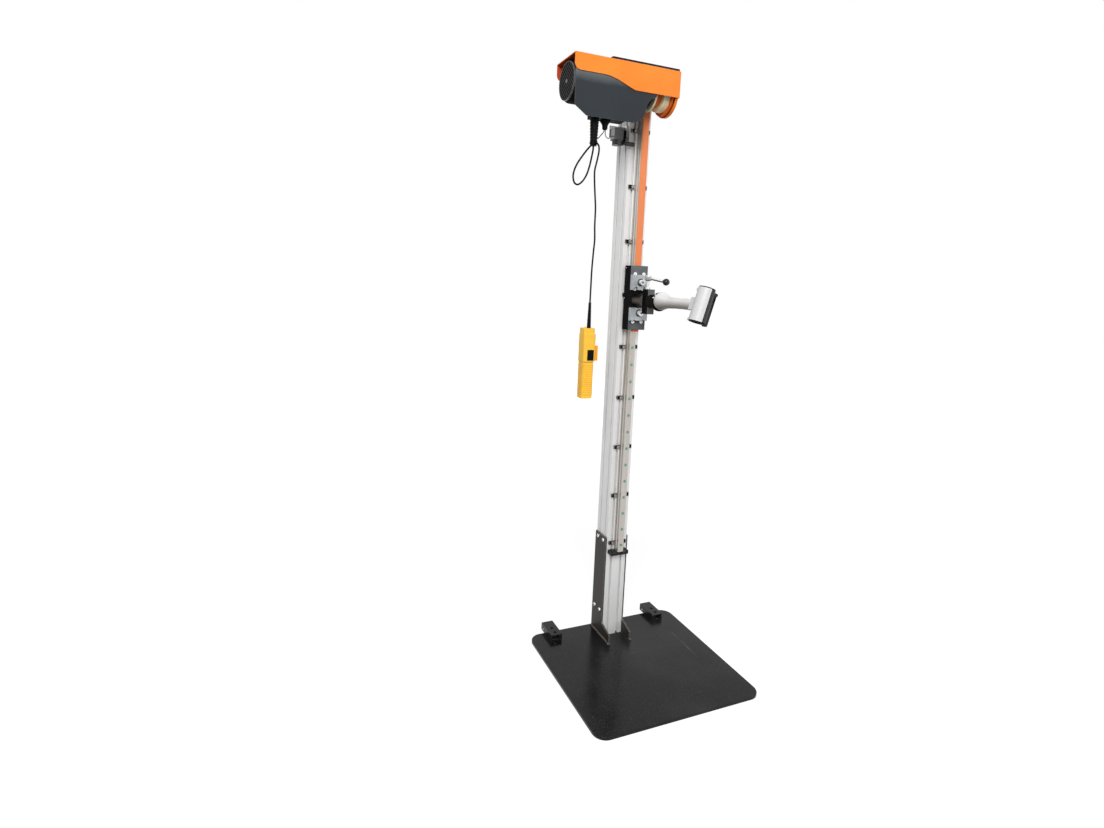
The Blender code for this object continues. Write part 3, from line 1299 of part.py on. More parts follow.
def clamp_blocks():
    """Two silver blocks that clamp the pivot to the carriage."""
    side = CARRIAGE_HALF_WIDTH
    span = (CLAMP_BLOCK_FRONT, CARRIAGE_FRONT - GAP)
    hole_radius = BLOCK_BOLT_SHANK + GAP
    low, middle, high = FACE_SCREW_HEIGHTS
    upper = [(-side, UPPER_CLAMP_BOTTOM), *notched_edge(-side, side, UPPER_CLAMP_BOTTOM, middle, 1),
             (side, UPPER_CLAMP_BOTTOM), (side, UPPER_CLAMP_TOP),
             *notched_edge(side, -side, UPPER_CLAMP_TOP, high, -1), (-side, UPPER_CLAMP_TOP)]
    lower = [(-side, LOWER_CLAMP_BOTTOM), *notched_edge(-side, side, LOWER_CLAMP_BOTTOM, low, 1),
             (side, LOWER_CLAMP_BOTTOM), (side, LOWER_CLAMP_TOP), (-side, LOWER_CLAMP_TOP)]
    blocks = []
    for name, edge, height in (("clamp_block_lower", lower, BLOCK_BOLT_HEIGHTS[0]),
                               ("clamp_block_upper", upper, BLOCK_BOLT_HEIGHTS[1])):
        hole = circle(0, height, hole_radius, 14)
        blocks.append(outline(name, "block_silver", "XZ", [edge, hole], span))
    return blocks


def carriage():
    """Carriage: cover, bearing blocks, screws, clamp blocks, pivot and strap tail."""
    slide = joint("carriage_slide", (0, STRAP_Y, PIVOT_Z))
    side, inner = CARRIAGE_HALF_WIDTH, CARRIAGE_INNER
    section = [(-side, CARRIAGE_REAR), (-side, CARRIAGE_FRONT), (side, CARRIAGE_FRONT),
               (side, CARRIAGE_REAR),
               (inner, CARRIAGE_REAR), (inner, CARRIAGE_INNER_FRONT), (-inner, CARRIAGE_INNER_FRONT),
               (-inner, CARRIAGE_REAR)]
    cover = outline("carriage_cover", "carriage_black", "XY", [section], (CARRIAGE_BOTTOM, CARRIAGE_TOP))
    anchor_bottom = UPPER_BLOCK_BOTTOM + BLOCK_LENGTH + GAP
    anchor = box("anchor", None, (-inner - 0.001, inner + 0.001),
                 (CARRIAGE_INNER_FRONT - 0.001, RAIL_FRONT - GAP - PLUG_HEIGHT - RUNNING_GAP),
                 (anchor_bottom, CARRIAGE_TOP - 0.001))
    half = STRAP_WIDTH / 2 + GAP
    slot = box("slot", None, (-half, half),
               (STRAP_Y - STRAP_THICKNESS / 2 - GAP, STRAP_Y + STRAP_THICKNESS / 2 + GAP),
               (CARRIAGE_TOP - ANCHOR_SLOT, CARRIAGE_TOP + 0.01))
    cut(unite(cover, anchor), slot)
    face_places = []
    for height in FACE_SCREW_HEIGHTS:
        for across in (-FACE_SCREW_X, FACE_SCREW_X):
            face_places.append((across, height))
    bolt_places = [(0, height) for height in BLOCK_BOLT_HEIGHTS]
    through = (CARRIAGE_FRONT - 0.01, CARRIAGE_FRONT + FACE_SCREW_LENGTH + GAP)
    deep = (CARRIAGE_FRONT - 0.01, BLOCK_BOLT_END)
    drill(cover, "Y", bolt_places, deep, BLOCK_BOLT_SHANK + GAP, 14)
    blocks = []
    for name, bottom in (("bearing_block_upper", UPPER_BLOCK_BOTTOM),
                         ("bearing_block_lower", LOWER_BLOCK_BOTTOM)):
        block = bearing_block(name, bottom)
        top = bottom + BLOCK_LENGTH
        here = [place_xz for place_xz in face_places if bottom < place_xz[1] < top]
        bolts = [place_xz for place_xz in bolt_places if bottom < place_xz[1] < top]
        drill(block, "Y", here, through, FACE_SCREW_SHANK + GAP, 10)
        drill(block, "Y", bolts, deep, BLOCK_BOLT_SHANK + GAP, 14)
        blocks.append(block)
    for place_xz in face_places:
        unite(cover, screw("Y", place_xz, CARRIAGE_FRONT, -1, FACE_SCREW_HEAD, FACE_SCREW_HEAD_HEIGHT,
                           FACE_SCREW_SHANK, FACE_SCREW_LENGTH))
    for height in NIPPLE_HEIGHTS:
        unite(cover, button("X", (NIPPLE_Y, height), -side, -1, 0.0030, 0.0035, 10))
    bolt_length = BLOCK_BOLT_END - GAP - CLAMP_BLOCK_FRONT
    bolts = []
    for name, place_xz in zip(("block_bolt_lower", "block_bolt_upper"), bolt_places):
        bolt = screw("Y", place_xz, CLAMP_BLOCK_FRONT, -1, BLOCK_BOLT_HEAD, BLOCK_BOLT_HEAD_HEIGHT,
                     BLOCK_BOLT_SHANK, bolt_length, 16, GAP)
        bolt.name = name
        bolt.data.name = name
        bolt.data.materials.append(MATERIALS["bright_steel"])
        bolts.append(bolt)
    tail_front = CARRIAGE_INNER_FRONT + GAP
    tail_top = LOWER_BLOCK_BOTTOM - GAP
    tail = box("strap_tail", "strap_orange", (-STRAP_WIDTH / 2, STRAP_WIDTH / 2),
               (tail_front, tail_front + STRAP_THICKNESS), (tail_top - STRAP_TAIL_LENGTH, tail_top))
    hang(slide, cover, *blocks, *bolts, *clamp_blocks(), tail, *pivot())
    clamp_lever(slide)
    arm(slide)


def bearing_block(name, bottom):
    """Block that runs on the rail, with a ridge in each of the rail's grooves."""
    outer = CARRIAGE_INNER - GAP
    front = CARRIAGE_INNER_FRONT + GAP
    channel = RAIL_HALF + RUNNING_GAP
    channel_front = RAIL_FRONT - GAP - PLUG_HEIGHT - RUNNING_GAP
    groove_back = -COLUMN_HALF - GROOVE_START - RUNNING_GAP
    groove_front = -COLUMN_HALF - GROOVE_START - GROOVE_WIDTH + RUNNING_GAP
    ridge = channel - GROOVE_DEPTH
    right = [(outer, front), (outer, CARRIAGE_REAR), (channel, CARRIAGE_REAR), (channel, groove_back),
             (ridge, groove_back - GROOVE_DEPTH), (ridge, groove_front + GROOVE_DEPTH),
             (channel, groove_front),
             (channel, channel_front)]
    left = [(-x, y) for x, y in reversed(right)]
    return outline(name, "motor_grey", "XY", [right + left], (bottom, bottom + BLOCK_LENGTH))


def pivot():
    """Tube and box that carry the arm's shaft, and the clamping stud on the box."""
    bore = ARM_SHAFT + GAP
    tube = ring("pivot_tube", "carriage_black", "Y", (0, PIVOT_Z), (TUBE_FRONT, CARRIAGE_FRONT - GAP),
                PIVOT_TUBE_RADIUS, bore, 32)
    housing = box("pivot_box", "carriage_black", (-PIVOT_BOX_HALF_WIDTH, PIVOT_BOX_HALF_WIDTH),
                  (PIVOT_BOX_FRONT, TUBE_FRONT - GAP), (PIVOT_BOX_BOTTOM, PIVOT_BOX_TOP))
    drill(housing, "Y", [(0, PIVOT_Z)], (PIVOT_BOX_FRONT - 0.01, TUBE_FRONT + 0.01), bore, 24)
    nut_bottom = PIVOT_BOX_TOP + GAP
    stud = rod("clamp_stud", "bright_steel", "Z", (0, LEVER_Y), (nut_bottom, STUD_TOP), STUD_RADIUS, 12)
    nut = rod("nut", None, "Z", (0, LEVER_Y), (nut_bottom, nut_bottom + STUD_NUT_HEIGHT), STUD_NUT_RADIUS,
              6)
    unite(stud, nut)
    return tube, housing, stud


def clamp_lever(slide):
    """Lever that tightens the pivot: hub, sloping rod and ball knob."""
    turn = joint("clamp_lever_axis", (0, LEVER_Y, LEVER_HUB_BOTTOM))
    turn.parent = slide
    turn.matrix_parent_inverse = matrix_of(slide).inverted()
    top = LEVER_HUB_BOTTOM + LEVER_HUB_HEIGHT
    radius = LEVER_HUB_RADIUS
    profile = [(0, top), (radius - 0.003, top), (radius - 0.001, top - 0.002), (radius, top - 0.006),
               (radius, LEVER_HUB_BOTTOM + 0.003), (radius - 0.0015, LEVER_HUB_BOTTOM),
               (0, LEVER_HUB_BOTTOM)]
    hub = turned("clamp_lever", "bright_steel", "Z", (0, LEVER_Y), profile, 20)
    start = Vector((0, LEVER_Y, LEVER_HUB_MIDDLE))
    heading = Vector((math.cos(LEVER_HEADING) * math.cos(LEVER_DROP),
                      math.sin(LEVER_HEADING) * math.cos(LEVER_DROP), -math.sin(LEVER_DROP)))
    length = LEVER_REACH - KNOB_RADIUS - GAP
    handle = rod("handle", None, "Z", (0, 0), (0, length), LEVER_ROD, 12)
    handle.rotation_euler = heading.to_track_quat("Z", "Y").to_euler()
    handle.location = start + heading * length / 2
    unite(hub, handle)
    shape = bmesh.new()
    bmesh.ops.create_uvsphere(shape, u_segments=14, v_segments=9, radius=KNOB_RADIUS)
    knob = from_bmesh(shape, "lever_knob", "black_plastic", start + heading * LEVER_REACH)
    smooth(knob)
    for piece in (hub, knob):
        piece.parent = turn
        piece.matrix_parent_inverse = Matrix.Translation(-Vector((0, LEVER_Y, LEVER_HUB_BOTTOM)))


def cast_arm():
    """Arm as one casting: a shaft in the pivot, then a round bulb that narrows to a neck.

    Each station holds the distance from the collar, the radius and how far the centre rises.
    """
    stations = [(0.0, BULB_RADIUS - 0.0040, BULB_RISE), (0.003, BULB_RADIUS - 0.0015, BULB_RISE),
                (0.008, BULB_RADIUS, BULB_RISE), (0.014, BULB_RADIUS - 0.0002, BULB_RISE),
                (0.024, 0.0252, 0.8 * BULB_RISE), (0.036, 0.0215, 0.45 * BULB_RISE),
                (0.050, 0.0188, 0.15 * BULB_RISE), (0.066, 0.0175, 0.0),
                (0.088, WAIST_RADIUS + 0.0002, 0.0),
                (0.130, WAIST_RADIUS, 0.0), (ARM_LENGTH, NECK_RADIUS, 0.0)]
    rings = [(CARRIAGE_FRONT - 0.0010, ARM_SHAFT, 0.0), (ARM_START, ARM_SHAFT, 0.0)]
    rings += [(ARM_START - distance, radius, rise) for distance, radius, rise in stations]
    shape = bmesh.new()
    sides = 24
    loops = []
    for position, radius, rise in rings:
        loop = []
        for index in range(sides):
            angle = 2 * math.pi * index / sides
            loop.append(shape.verts.new((radius * math.cos(angle), position,
                                         PIVOT_Z + rise + radius * math.sin(angle))))
        loops.append(loop)
    for first, second in zip(loops, loops[1:]):
        for index in range(sides):
            after = (index + 1) % sides
            shape.faces.new((first[index], first[after], second[after], second[index]))
    shape.faces.new(loops[0])
    shape.faces.new(loops[-1])
    bmesh.ops.recalc_face_normals(shape, faces=shape.faces)
    bar = from_bmesh(shape, "arm", "cast_grey")
    smooth(bar)
    return bar


def pivot_collar():
    """Collar between the pivot box and the arm: a sleeve with a flange."""
    back = PIVOT_BOX_FRONT - GAP
    flange_back = COLLAR_FRONT + COLLAR_FLANGE
    bore = ARM_SHAFT + GAP
    profile = [(COLLAR_SLEEVE, back), (COLLAR_SLEEVE, flange_back + 0.006),
               (COLLAR_RADIUS, flange_back), (COLLAR_RADIUS, COLLAR_FRONT), (bore, COLLAR_FRONT),
               (bore, back)]
    return turned("pivot_collar", "carriage_black", "Y", (0, PIVOT_Z), profile, 28, closed=True)


def arm(slide):
    """Swivelling arm with its collar, jaws and jaw lever."""
    swivel = joint("arm_swivel", (0, ARM_START, PIVOT_Z))
    swivel.parent = slide
    swivel.matrix_parent_inverse = matrix_of(slide).inverted()
    base = Matrix.Translation(-Vector((0, ARM_START, PIVOT_Z)))
    for piece in (cast_arm(), pivot_collar()):
        piece.parent = swivel
        piece.matrix_parent_inverse = base
    jaw_frame = joint("jaw_frame", (0, POST_Y, PIVOT_Z), (0, JAW_TILT, 0))
    jaw_frame.parent = swivel
    jaw_frame.matrix_parent_inverse = base
    jaws(jaw_frame)


def half_ring(side, outer, inner, count=14):
    """Outline of a half ring on one side of the split, in the jaw's frame."""
    split = JAW_SPLIT / 2

    def edge(radius):
        return math.acos(split / radius)

    outer_points = arc(0, 0, outer, edge(outer), -edge(outer), count)
    inner_points = arc(0, 0, inner, -edge(inner), edge(inner), count)
    return [(side * x, y) for x, y in outer_points + inner_points]


def knuckle(low, high):
    """A hinge knuckle round the jaw pin."""
    return rod("knuckle", None, "Z", (PIN_X, PIN_Y), (low, high), KNUCKLE_RADIUS, 14)


def jaws(frame):
    """Fixed and moving jaw with rubber liners, hinge pin and closing lever."""
    height = (-JAW_HALF_HEIGHT, JAW_HALF_HEIGHT)
    rear = POST_REACH - GAP
    fixed = outline("fixed_jaw", "cast_grey", "XY", [half_ring(-1, JAW_OUTER, JAW_INNER)], height)
    root = ROOT_HALF_HEIGHT
    left_root = box("left_root", None, (-NECK_RADIUS + 0.0003, -0.0016), (JAW_INNER + 0.001, rear),
                    (-root, root))
    pin_root = box("pin_root", None, (-0.0020, PIN_X), (PIN_Y - KNUCKLE_RADIUS + 0.0004, rear),
                   (-root, root))
    middle = knuckle(-root, root)
    trim = box("trim", None, (-0.03, 0.03), (rear, rear + 0.02), (-0.03, 0.03))
    outer_low = KNUCKLE_TOP + 2 * GAP
    pieces = [left_root, pin_root, cut(middle, trim)]
    for side in (-1, 1):
        low, high = sorted((side * outer_low, side * JAW_HALF_HEIGHT))
        pieces.append(knuckle(low, high))
        pieces.append(box("strut", None, (-0.0090, PIN_X - 0.001), (PIN_Y - 0.0040, PIN_Y + 0.0040),
                          (low, high)))
        pieces.append(box("strut", None, (-0.0090, -0.0016), (JAW_INNER + 0.002, PIN_Y), (low, high)))
    pin = rod("pin", None, "Z", (PIN_X, PIN_Y), height, PIN_RADIUS, 12)
    unite(fixed, *pieces, pin)
    moving = outline("moving_jaw", "jaw_dark", "XY", [half_ring(1, JAW_OUTER, JAW_INNER)], height)
    extra = []
    knuckle_low = root + 2 * GAP
    for side in (-1, 1):
        low, high = sorted((side * knuckle_low, side * KNUCKLE_TOP))
        extra.append(knuckle(low, high))
        extra.append(box("web", None, (PIN_X - 0.0005, PIN_X + 0.0045), (JAW_INNER + 0.003, PIN_Y),
                         (low, high)))
        lug_inner = JAW_LEVER_HALF_WIDTH + GAP
        span = sorted((side * lug_inner, side * (lug_inner + LUG_THICKNESS)))
        lug = arc(JAW_LEVER_X, JAW_LEVER_Z, 0.0048, math.pi / 2, -math.pi / 2, 7)
        lug += [(JAW_INNER + 0.0015, JAW_LEVER_Z - 0.0048), (JAW_INNER + 0.0015, JAW_LEVER_Z + 0.0048)]
        extra.append(outline("lug", None, "XZ", [lug], span))
    cross = JAW_LEVER_HALF_WIDTH + GAP + LUG_THICKNESS / 2
    extra.append(rod("cross_pin", None, "Y", (JAW_LEVER_X, JAW_LEVER_Z), (-cross, cross), 0.0018, 10))
    unite(moving, *extra)
    bore = rod("pin_room", None, "Z", (PIN_X, PIN_Y), (-JAW_HALF_HEIGHT - 0.01, JAW_HALF_HEIGHT + 0.01),
               PIN_BORE, 12)
    cut(moving, bore)
    liners = []
    for name, side in (("fixed_jaw_liner", -1), ("moving_jaw_liner", 1)):
        liners.append(jaw_liner(name, side))
    reach = JAW_LEVER_RADIUS
    inner_x = JAW_LEVER_X - reach
    shape = arc(JAW_LEVER_X, JAW_LEVER_Z, reach, 0, math.pi, 9)
    shape += [(inner_x, JAW_LEVER_BOTTOM + 0.003), (inner_x + 0.002, JAW_LEVER_BOTTOM),
              (JAW_LEVER_X + reach - 0.002, JAW_LEVER_BOTTOM),
              (JAW_LEVER_X + reach, JAW_LEVER_BOTTOM + 0.003)]
    hole = circle(JAW_LEVER_X, JAW_LEVER_Z, 0.0018 + GAP, 10)
    lever = outline("jaw_lever", "jaw_dark", "XZ", [shape, hole],
                    (-JAW_LEVER_HALF_WIDTH, JAW_LEVER_HALF_WIDTH))
    hinge = joint("jaw_hinge", (PIN_X, PIN_Y, 0), parent=frame)
    lever_axis = joint("jaw_lever_axis", (JAW_LEVER_X - PIN_X, -PIN_Y, JAW_LEVER_Z), parent=hinge)
    hinge_base = Matrix.Translation(-Vector((PIN_X, PIN_Y, 0)))
    lever_base = Matrix.Translation(-Vector((JAW_LEVER_X, 0, JAW_LEVER_Z)))
    carry(frame, Matrix.Identity(4), fixed, liners[0], *pieces, pin, trim)
    carry(hinge, hinge_base, moving, liners[1], *extra, bore)
    carry(lever_axis, lever_base, lever)


def carry(parent, base, *pieces):
    """Parent pieces that were made in the jaw's frame, with their own cutters."""
    for piece in pieces:
        piece.parent = parent
        piece.matrix_parent_inverse = base
        for modifier in piece.modifiers:
            if modifier.type == "BOOLEAN" and modifier.object.parent is None:
                carry(parent, base, modifier.object)


def jaw_liner(name, side):
    """Rubber liner of one jaw, with a lip over the jaw's ends."""
    lip_top = JAW_HALF_HEIGHT + GAP + LINER_LIP
    lip_low = JAW_HALF_HEIGHT + GAP
    lip_radius = JAW_OUTER - 0.001
    profile = [(lip_radius, lip_top), (lip_radius, lip_low), (LINER_OUTER, lip_low),
               (LINER_OUTER, -lip_low),
               (lip_radius, -lip_low), (lip_radius, -lip_top), (LINER_INNER, -lip_top),
               (LINER_INNER, lip_top)]
    liner = turned(name, "liner_rubber", "Z", (0, 0), profile, 28, closed=True)
    split = JAW_SPLIT / 2
    ends = sorted((side * split, -side * 0.04))
    cut(liner, box("liner_half", None, ends, (-0.04, 0.04), (-0.06, 0.06)))
    return liner


# Pendant control


def pendant_cord():
    """Cord from the boot: down, round a loop, over the tie and down to the pendant's boot."""
    route = [(-0.2210, -0.1400, BOOT_BOTTOM - GAP), (-0.2215, -0.1400, 1.7150), (-0.2250, -0.1400, 1.6950),
             (-0.2310, -0.1400, 1.6670), (-0.2400, -0.1400, 1.6400), (-0.2530, -0.1405, 1.6200),
             (-0.2690, -0.1410, 1.6085), (-0.2825, -0.1430, 1.6150), (-0.2870, -0.1450, 1.6370),
             (-0.2790, -0.1490, 1.6650), (-0.2590, -0.1530, 1.6970), (-0.2430, -0.1555, 1.7180),
             (-0.2290, -0.1568, 1.7318), (-0.2185, -0.1570, 1.7337), (-0.2105, -0.1562, 1.7260),
             (-0.2078, -0.1535, 1.7100), (-0.2090, -0.1455, 1.6830), (-0.2125, -0.1405, 1.6550),
             (-0.2110, -0.1400, 1.6220), (-0.2075, -0.1400, 1.5850), (-0.2035, -0.1400, 1.5430),
             (-0.2030, -0.1400, 1.4880), (-0.2010, -0.1400, 1.4460), (-0.2035, -0.1400, 1.4050),
             (-0.2060, -0.1400, 1.3500), (-0.2065, -0.1400, 1.3000),
             (-0.2070, -0.1400, PENDANT_BOOT_TOP + GAP)]
    cord("pendant_cord", "cord_black", route, CORD_DIAMETER, 0.0130)


def pendant():
    """Hand control on the cord: boot, body with a switch head and guard, and rocker."""
    ribbed_sleeve("pendant_boot", "black_plastic", (PENDANT_BOOT_X, PENDANT_Y), PENDANT_BOOT_TOP,
                  PENDANT_TOP + GAP, 0.0045, PENDANT_BOOT_RADIUS, 7, 10)
    half = PENDANT_WIDTH / 2
    grip = rounded((PENDANT_X - half, PENDANT_X + half), (PENDANT_Y - half, PENDANT_Y + half),
                   PENDANT_CORNER, 5)
    body = outline("pendant_body", "pendant_yellow", "XY", [grip], (PENDANT_BOTTOM, PENDANT_TOP))
    head = rounded((PENDANT_X - half - 0.0015, PENDANT_X + half + 0.0015),
                   (HEAD_FRONT, PENDANT_Y + half - 0.001),
                   0.006, 4)
    switch_head = outline("switch_head", None, "XY", [head], (HEAD_BOTTOM, HEAD_TOP))
    guard = box("guard", None, (PENDANT_X + half - 0.004, GUARD_RIGHT),
                (PENDANT_Y - 0.012, PENDANT_Y + 0.012),
                (HEAD_BOTTOM + 0.002, GUARD_TOP))
    lug = rod("lug", None, "Y", (PENDANT_X - LUG_OFFSET, PENDANT_TOP),
              (PENDANT_Y - 0.004, PENDANT_Y + 0.002), 0.0045, 12)
    unite(body, switch_head, guard, lug)
    room_x = ROCKER_WIDTH / 2 + 0.0008
    room_z = ROCKER_HEIGHT / 2 + 0.0012
    pocket = box("pocket", None, (ROCKER_X - room_x, ROCKER_X + room_x),
                 (HEAD_FRONT - 0.01, HEAD_FRONT + 0.0085),
                 (ROCKER_Z - room_z, ROCKER_Z + room_z))
    cut(body, pocket)
    front = HEAD_FRONT - ROCKER_PROUD
    back = front + ROCKER_THICKNESS
    middle = HEAD_FRONT + 0.001
    tall = ROCKER_HEIGHT / 2
    side_view = [(back, ROCKER_Z - tall + 0.002), (front + 0.0008, ROCKER_Z - tall),
                 (front + 0.0014, ROCKER_Z),
                 (front + 0.0008, ROCKER_Z + tall), (back, ROCKER_Z + tall - 0.002)]
    rocker = outline("rocker_switch", "black_plastic", "YZ", [side_view],
                     (ROCKER_X - ROCKER_WIDTH / 2, ROCKER_X + ROCKER_WIDTH / 2))
    hang(joint("rocker_axis", (ROCKER_X, middle, ROCKER_Z)), rocker)


base_plate()
column_profile()
side_plates()
guide_rail()
rail_end_stop()
transport_wheels()
winch_cover()
mounting_plate()
winch_hangers()
side_panel()
motor_body()
fan_cowl()
fan_grille()
motor_fan()
gearbox()
drum()
control_box()
cord_fittings()
limit_switch()
strap()
carriage()
pendant_cord()
pendant()
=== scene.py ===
# %% [markdown]
# A workshop lift with a strap winch, dressed over its solids: a floor plate, an extruded column, a rail with a
# carriage, a winch under an orange cover, a clamp on a swivelling arm and a yellow hand control on a cord.
# The solids bring the sizes and the joints. This file adds what the eye looks for: rounded edges, screws with
# sockets, ribs, webbing and finishes. Everything is in metres, with +Z up and the arm pointing to -Y.

# %% Load the solids
import math

import bmesh
import bpy
import numpy as np
from mathutils import Matrix, Vector


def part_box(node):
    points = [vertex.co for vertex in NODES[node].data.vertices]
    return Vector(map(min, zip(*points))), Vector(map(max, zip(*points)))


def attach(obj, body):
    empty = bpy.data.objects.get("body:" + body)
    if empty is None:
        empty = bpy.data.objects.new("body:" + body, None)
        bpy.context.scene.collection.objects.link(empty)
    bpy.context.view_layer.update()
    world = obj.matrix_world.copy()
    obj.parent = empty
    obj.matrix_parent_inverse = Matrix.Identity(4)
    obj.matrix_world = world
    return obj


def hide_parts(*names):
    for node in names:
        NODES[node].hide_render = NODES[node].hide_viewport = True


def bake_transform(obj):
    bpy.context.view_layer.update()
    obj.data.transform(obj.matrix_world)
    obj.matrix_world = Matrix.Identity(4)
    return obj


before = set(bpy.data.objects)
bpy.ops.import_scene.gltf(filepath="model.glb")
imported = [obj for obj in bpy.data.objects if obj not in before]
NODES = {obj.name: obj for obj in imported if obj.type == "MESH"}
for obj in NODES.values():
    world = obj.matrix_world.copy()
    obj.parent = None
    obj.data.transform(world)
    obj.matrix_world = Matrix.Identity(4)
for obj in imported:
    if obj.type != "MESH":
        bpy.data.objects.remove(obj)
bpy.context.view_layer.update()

# %% [markdown]
# The camera stands where the picture of the real lift was taken: at the front left, at the height of a face.
# The real picture looks almost level and yet shows the floor plate, as a lens shift or a crop does. A small shift
# stands for that here. The full one would follow the picture a little closer, but it would push the winch out of
# the frame when the camera moves round to the back.

# %% Camera
IMAGE_WIDTH = 1104
IMAGE_HEIGHT = 828
FOCAL_PIXELS = 615.92
AXIS_PIXEL = (546.0, 372.0)
CAMERA_PLACE = Vector((-1.1005, -1.9094, 1.3114))
CAMERA_FORWARD = Vector((0.3863, 0.9108, -0.1455)).normalized()
CAMERA_UP = Vector((0.0217, 0.1487, 0.9886))
SENSOR_WIDTH = 36.0


def link(name, data):
    """An object of a mesh, curve, camera or lamp, linked to the scene."""
    item = bpy.data.objects.new(name, data)
    bpy.context.scene.collection.objects.link(item)
    return item


camera_data = bpy.data.cameras.new("portrait_camera")
camera_data.sensor_width = SENSOR_WIDTH
camera_data.lens = FOCAL_PIXELS / IMAGE_WIDTH * SENSOR_WIDTH
camera_data.shift_x = (IMAGE_WIDTH / 2 - AXIS_PIXEL[0]) / IMAGE_WIDTH
camera_data.shift_y = (AXIS_PIXEL[1] - IMAGE_HEIGHT / 2) / IMAGE_WIDTH
camera = link("portrait_camera", camera_data)
camera_right = CAMERA_FORWARD.cross(CAMERA_UP).normalized()
camera_up = camera_right.cross(CAMERA_FORWARD)
turn = Matrix((camera_right, camera_up, -CAMERA_FORWARD)).transposed()
camera.matrix_world = Matrix.Translation(CAMERA_PLACE) @ turn.to_4x4()
bpy.context.scene.camera = camera
print("lens", round(camera_data.lens, 2), "mm, shift", round(camera_data.shift_x, 4), round(camera_data.shift_y, 4))

# %% [markdown]
# Three cords leave the underside of the winch. The thick one runs down from its boot, makes one loop, hooks over
# the boot's tie and hangs down to the hand control. The two thin wires come out of a gland.
# A cord could be simulated, but each of these is held at both ends and is seen from end to end, so its route is
# read from the solids' own points, and a smooth curve passes through them.

# %% A smooth route through chosen points
CORD_SPACING = 0.0035


def smoothed(points, before, after, steps):
    """A smooth curve through points, in steps from each to the next. Before and after lie past its ends."""
    row = [before, *points, after]
    curve = []
    for a, b, c, d in zip(row, row[1:], row[2:], row[3:]):
        for t in (step / steps for step in range(steps)):
            curve.append(0.5 * (2 * b + (c - a) * t + (2 * a - 5 * b + 4 * c - d) * t ** 2
                                + (3 * b - a - 3 * c + d) * t ** 3))
    return [*curve, points[-1]]


def even_route(points):
    """Points at an even spacing on a smooth curve through the given ones."""
    route = [Vector(point) for point in points]
    fine = smoothed(route, 2 * route[0] - route[1], 2 * route[-1] - route[-2], 24)
    lengths = np.cumsum([0.0, *((b - a).length for a, b in zip(fine, fine[1:]))])
    targets = np.linspace(0.0, lengths[-1], max(2, round(lengths[-1] / CORD_SPACING)) + 1)
    return [Vector(place) for place in zip(*(np.interp(targets, lengths, axis) for axis in zip(*fine)))]


def add_spline(curve, points):
    """A line through points as a new spline of a curve."""
    spline = curve.splines.new("POLY")
    spline.points.add(len(points) - 1)
    for target, point in zip(spline.points, points):
        target.co = (*point, 1)
    return spline


def cord_curve(name, points, diameter):
    """A round cord as a curve with a bevel, and its measured length."""
    curve = bpy.data.curves.new(name, "CURVE")
    curve.dimensions = "3D"
    curve.bevel_depth = 1.0
    curve.bevel_resolution = 4
    curve.use_fill_caps = True
    route = even_route(points)
    spline = add_spline(curve, route)
    spline.points.foreach_set("radius", [diameter / 2] * len(route))
    spline.use_smooth = True
    return link(name, curve), sum((b - a).length for a, b in zip(route, route[1:]))


# %% The hand control's cord and the two wires
CORD_ROUTE = [
    (-0.2210, -0.1400, 1.7277), (-0.2215, -0.1400, 1.7150), (-0.2250, -0.1400, 1.6950), (-0.2310, -0.1400, 1.6670),
    (-0.2400, -0.1400, 1.6400), (-0.2530, -0.1405, 1.6200), (-0.2690, -0.1410, 1.6085), (-0.2825, -0.1430, 1.6150),
    (-0.2870, -0.1450, 1.6370), (-0.2790, -0.1490, 1.6650), (-0.2590, -0.1530, 1.6970), (-0.2430, -0.1555, 1.7180),
    (-0.2290, -0.1568, 1.7318), (-0.2185, -0.1570, 1.7337), (-0.2105, -0.1562, 1.7260), (-0.2078, -0.1535, 1.7100),
    (-0.2090, -0.1455, 1.6830), (-0.2125, -0.1405, 1.6550), (-0.2110, -0.1400, 1.6220), (-0.2075, -0.1400, 1.5850),
    (-0.2035, -0.1400, 1.5430), (-0.2030, -0.1400, 1.4880), (-0.2010, -0.1400, 1.4460), (-0.2035, -0.1400, 1.4050),
    (-0.2060, -0.1400, 1.3500), (-0.2065, -0.1400, 1.3000), (-0.2070, -0.1400, 1.2503),
]
BOOT_WIRE_ROUTE = [
    (-0.1867, -0.1400, 1.7781), (-0.1869, -0.1400, 1.7741), (-0.1945, -0.1400, 1.7651), (-0.2020, -0.1400, 1.7561),
    (-0.2078, -0.1400, 1.7505),
]
SWITCH_WIRE_ROUTE = [
    (-0.1823, -0.1400, 1.7781), (-0.1821, -0.1400, 1.7731), (-0.1745, -0.1265, 1.7680), (-0.1600, -0.1080, 1.7665),
    (-0.1400, -0.0800, 1.7710), (-0.1130, -0.0430, 1.7835), (-0.0970, -0.0200, 1.7935), (-0.0894, -0.0120, 1.7965),
]
CORDS = {}
for name, route, diameter, node, stiffness in (
    ("control_cord", CORD_ROUTE, 0.0055, "pendant_cord", "medium"),
    ("thin_wire_to_boot", BOOT_WIRE_ROUTE, 0.0028, "boot_wire", "limp"),
    ("thin_wire_to_switch", SWITCH_WIRE_ROUTE, 0.0030, "switch_wire", "limp"),
):
    item, length = cord_curve(name, route, diameter)
    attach(item, "root")
    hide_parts(node)
    CORDS[name] = item
    print(name, round(length, 3), "m long")

# %% [markdown]
# Finishes come next. A finish here is a Principled shader plus a few nodes that read the piece's own coordinates:
# noise for orange peel, stretched noise for drawn metal, waves for webbing. Image textures could do it as well,
# but a procedural finish keeps its scale on every piece and needs no file.
# The small classes below keep the node code short: most methods add a node or two and return an output.

# %% Helpers that build finishes
FINISHES = {}


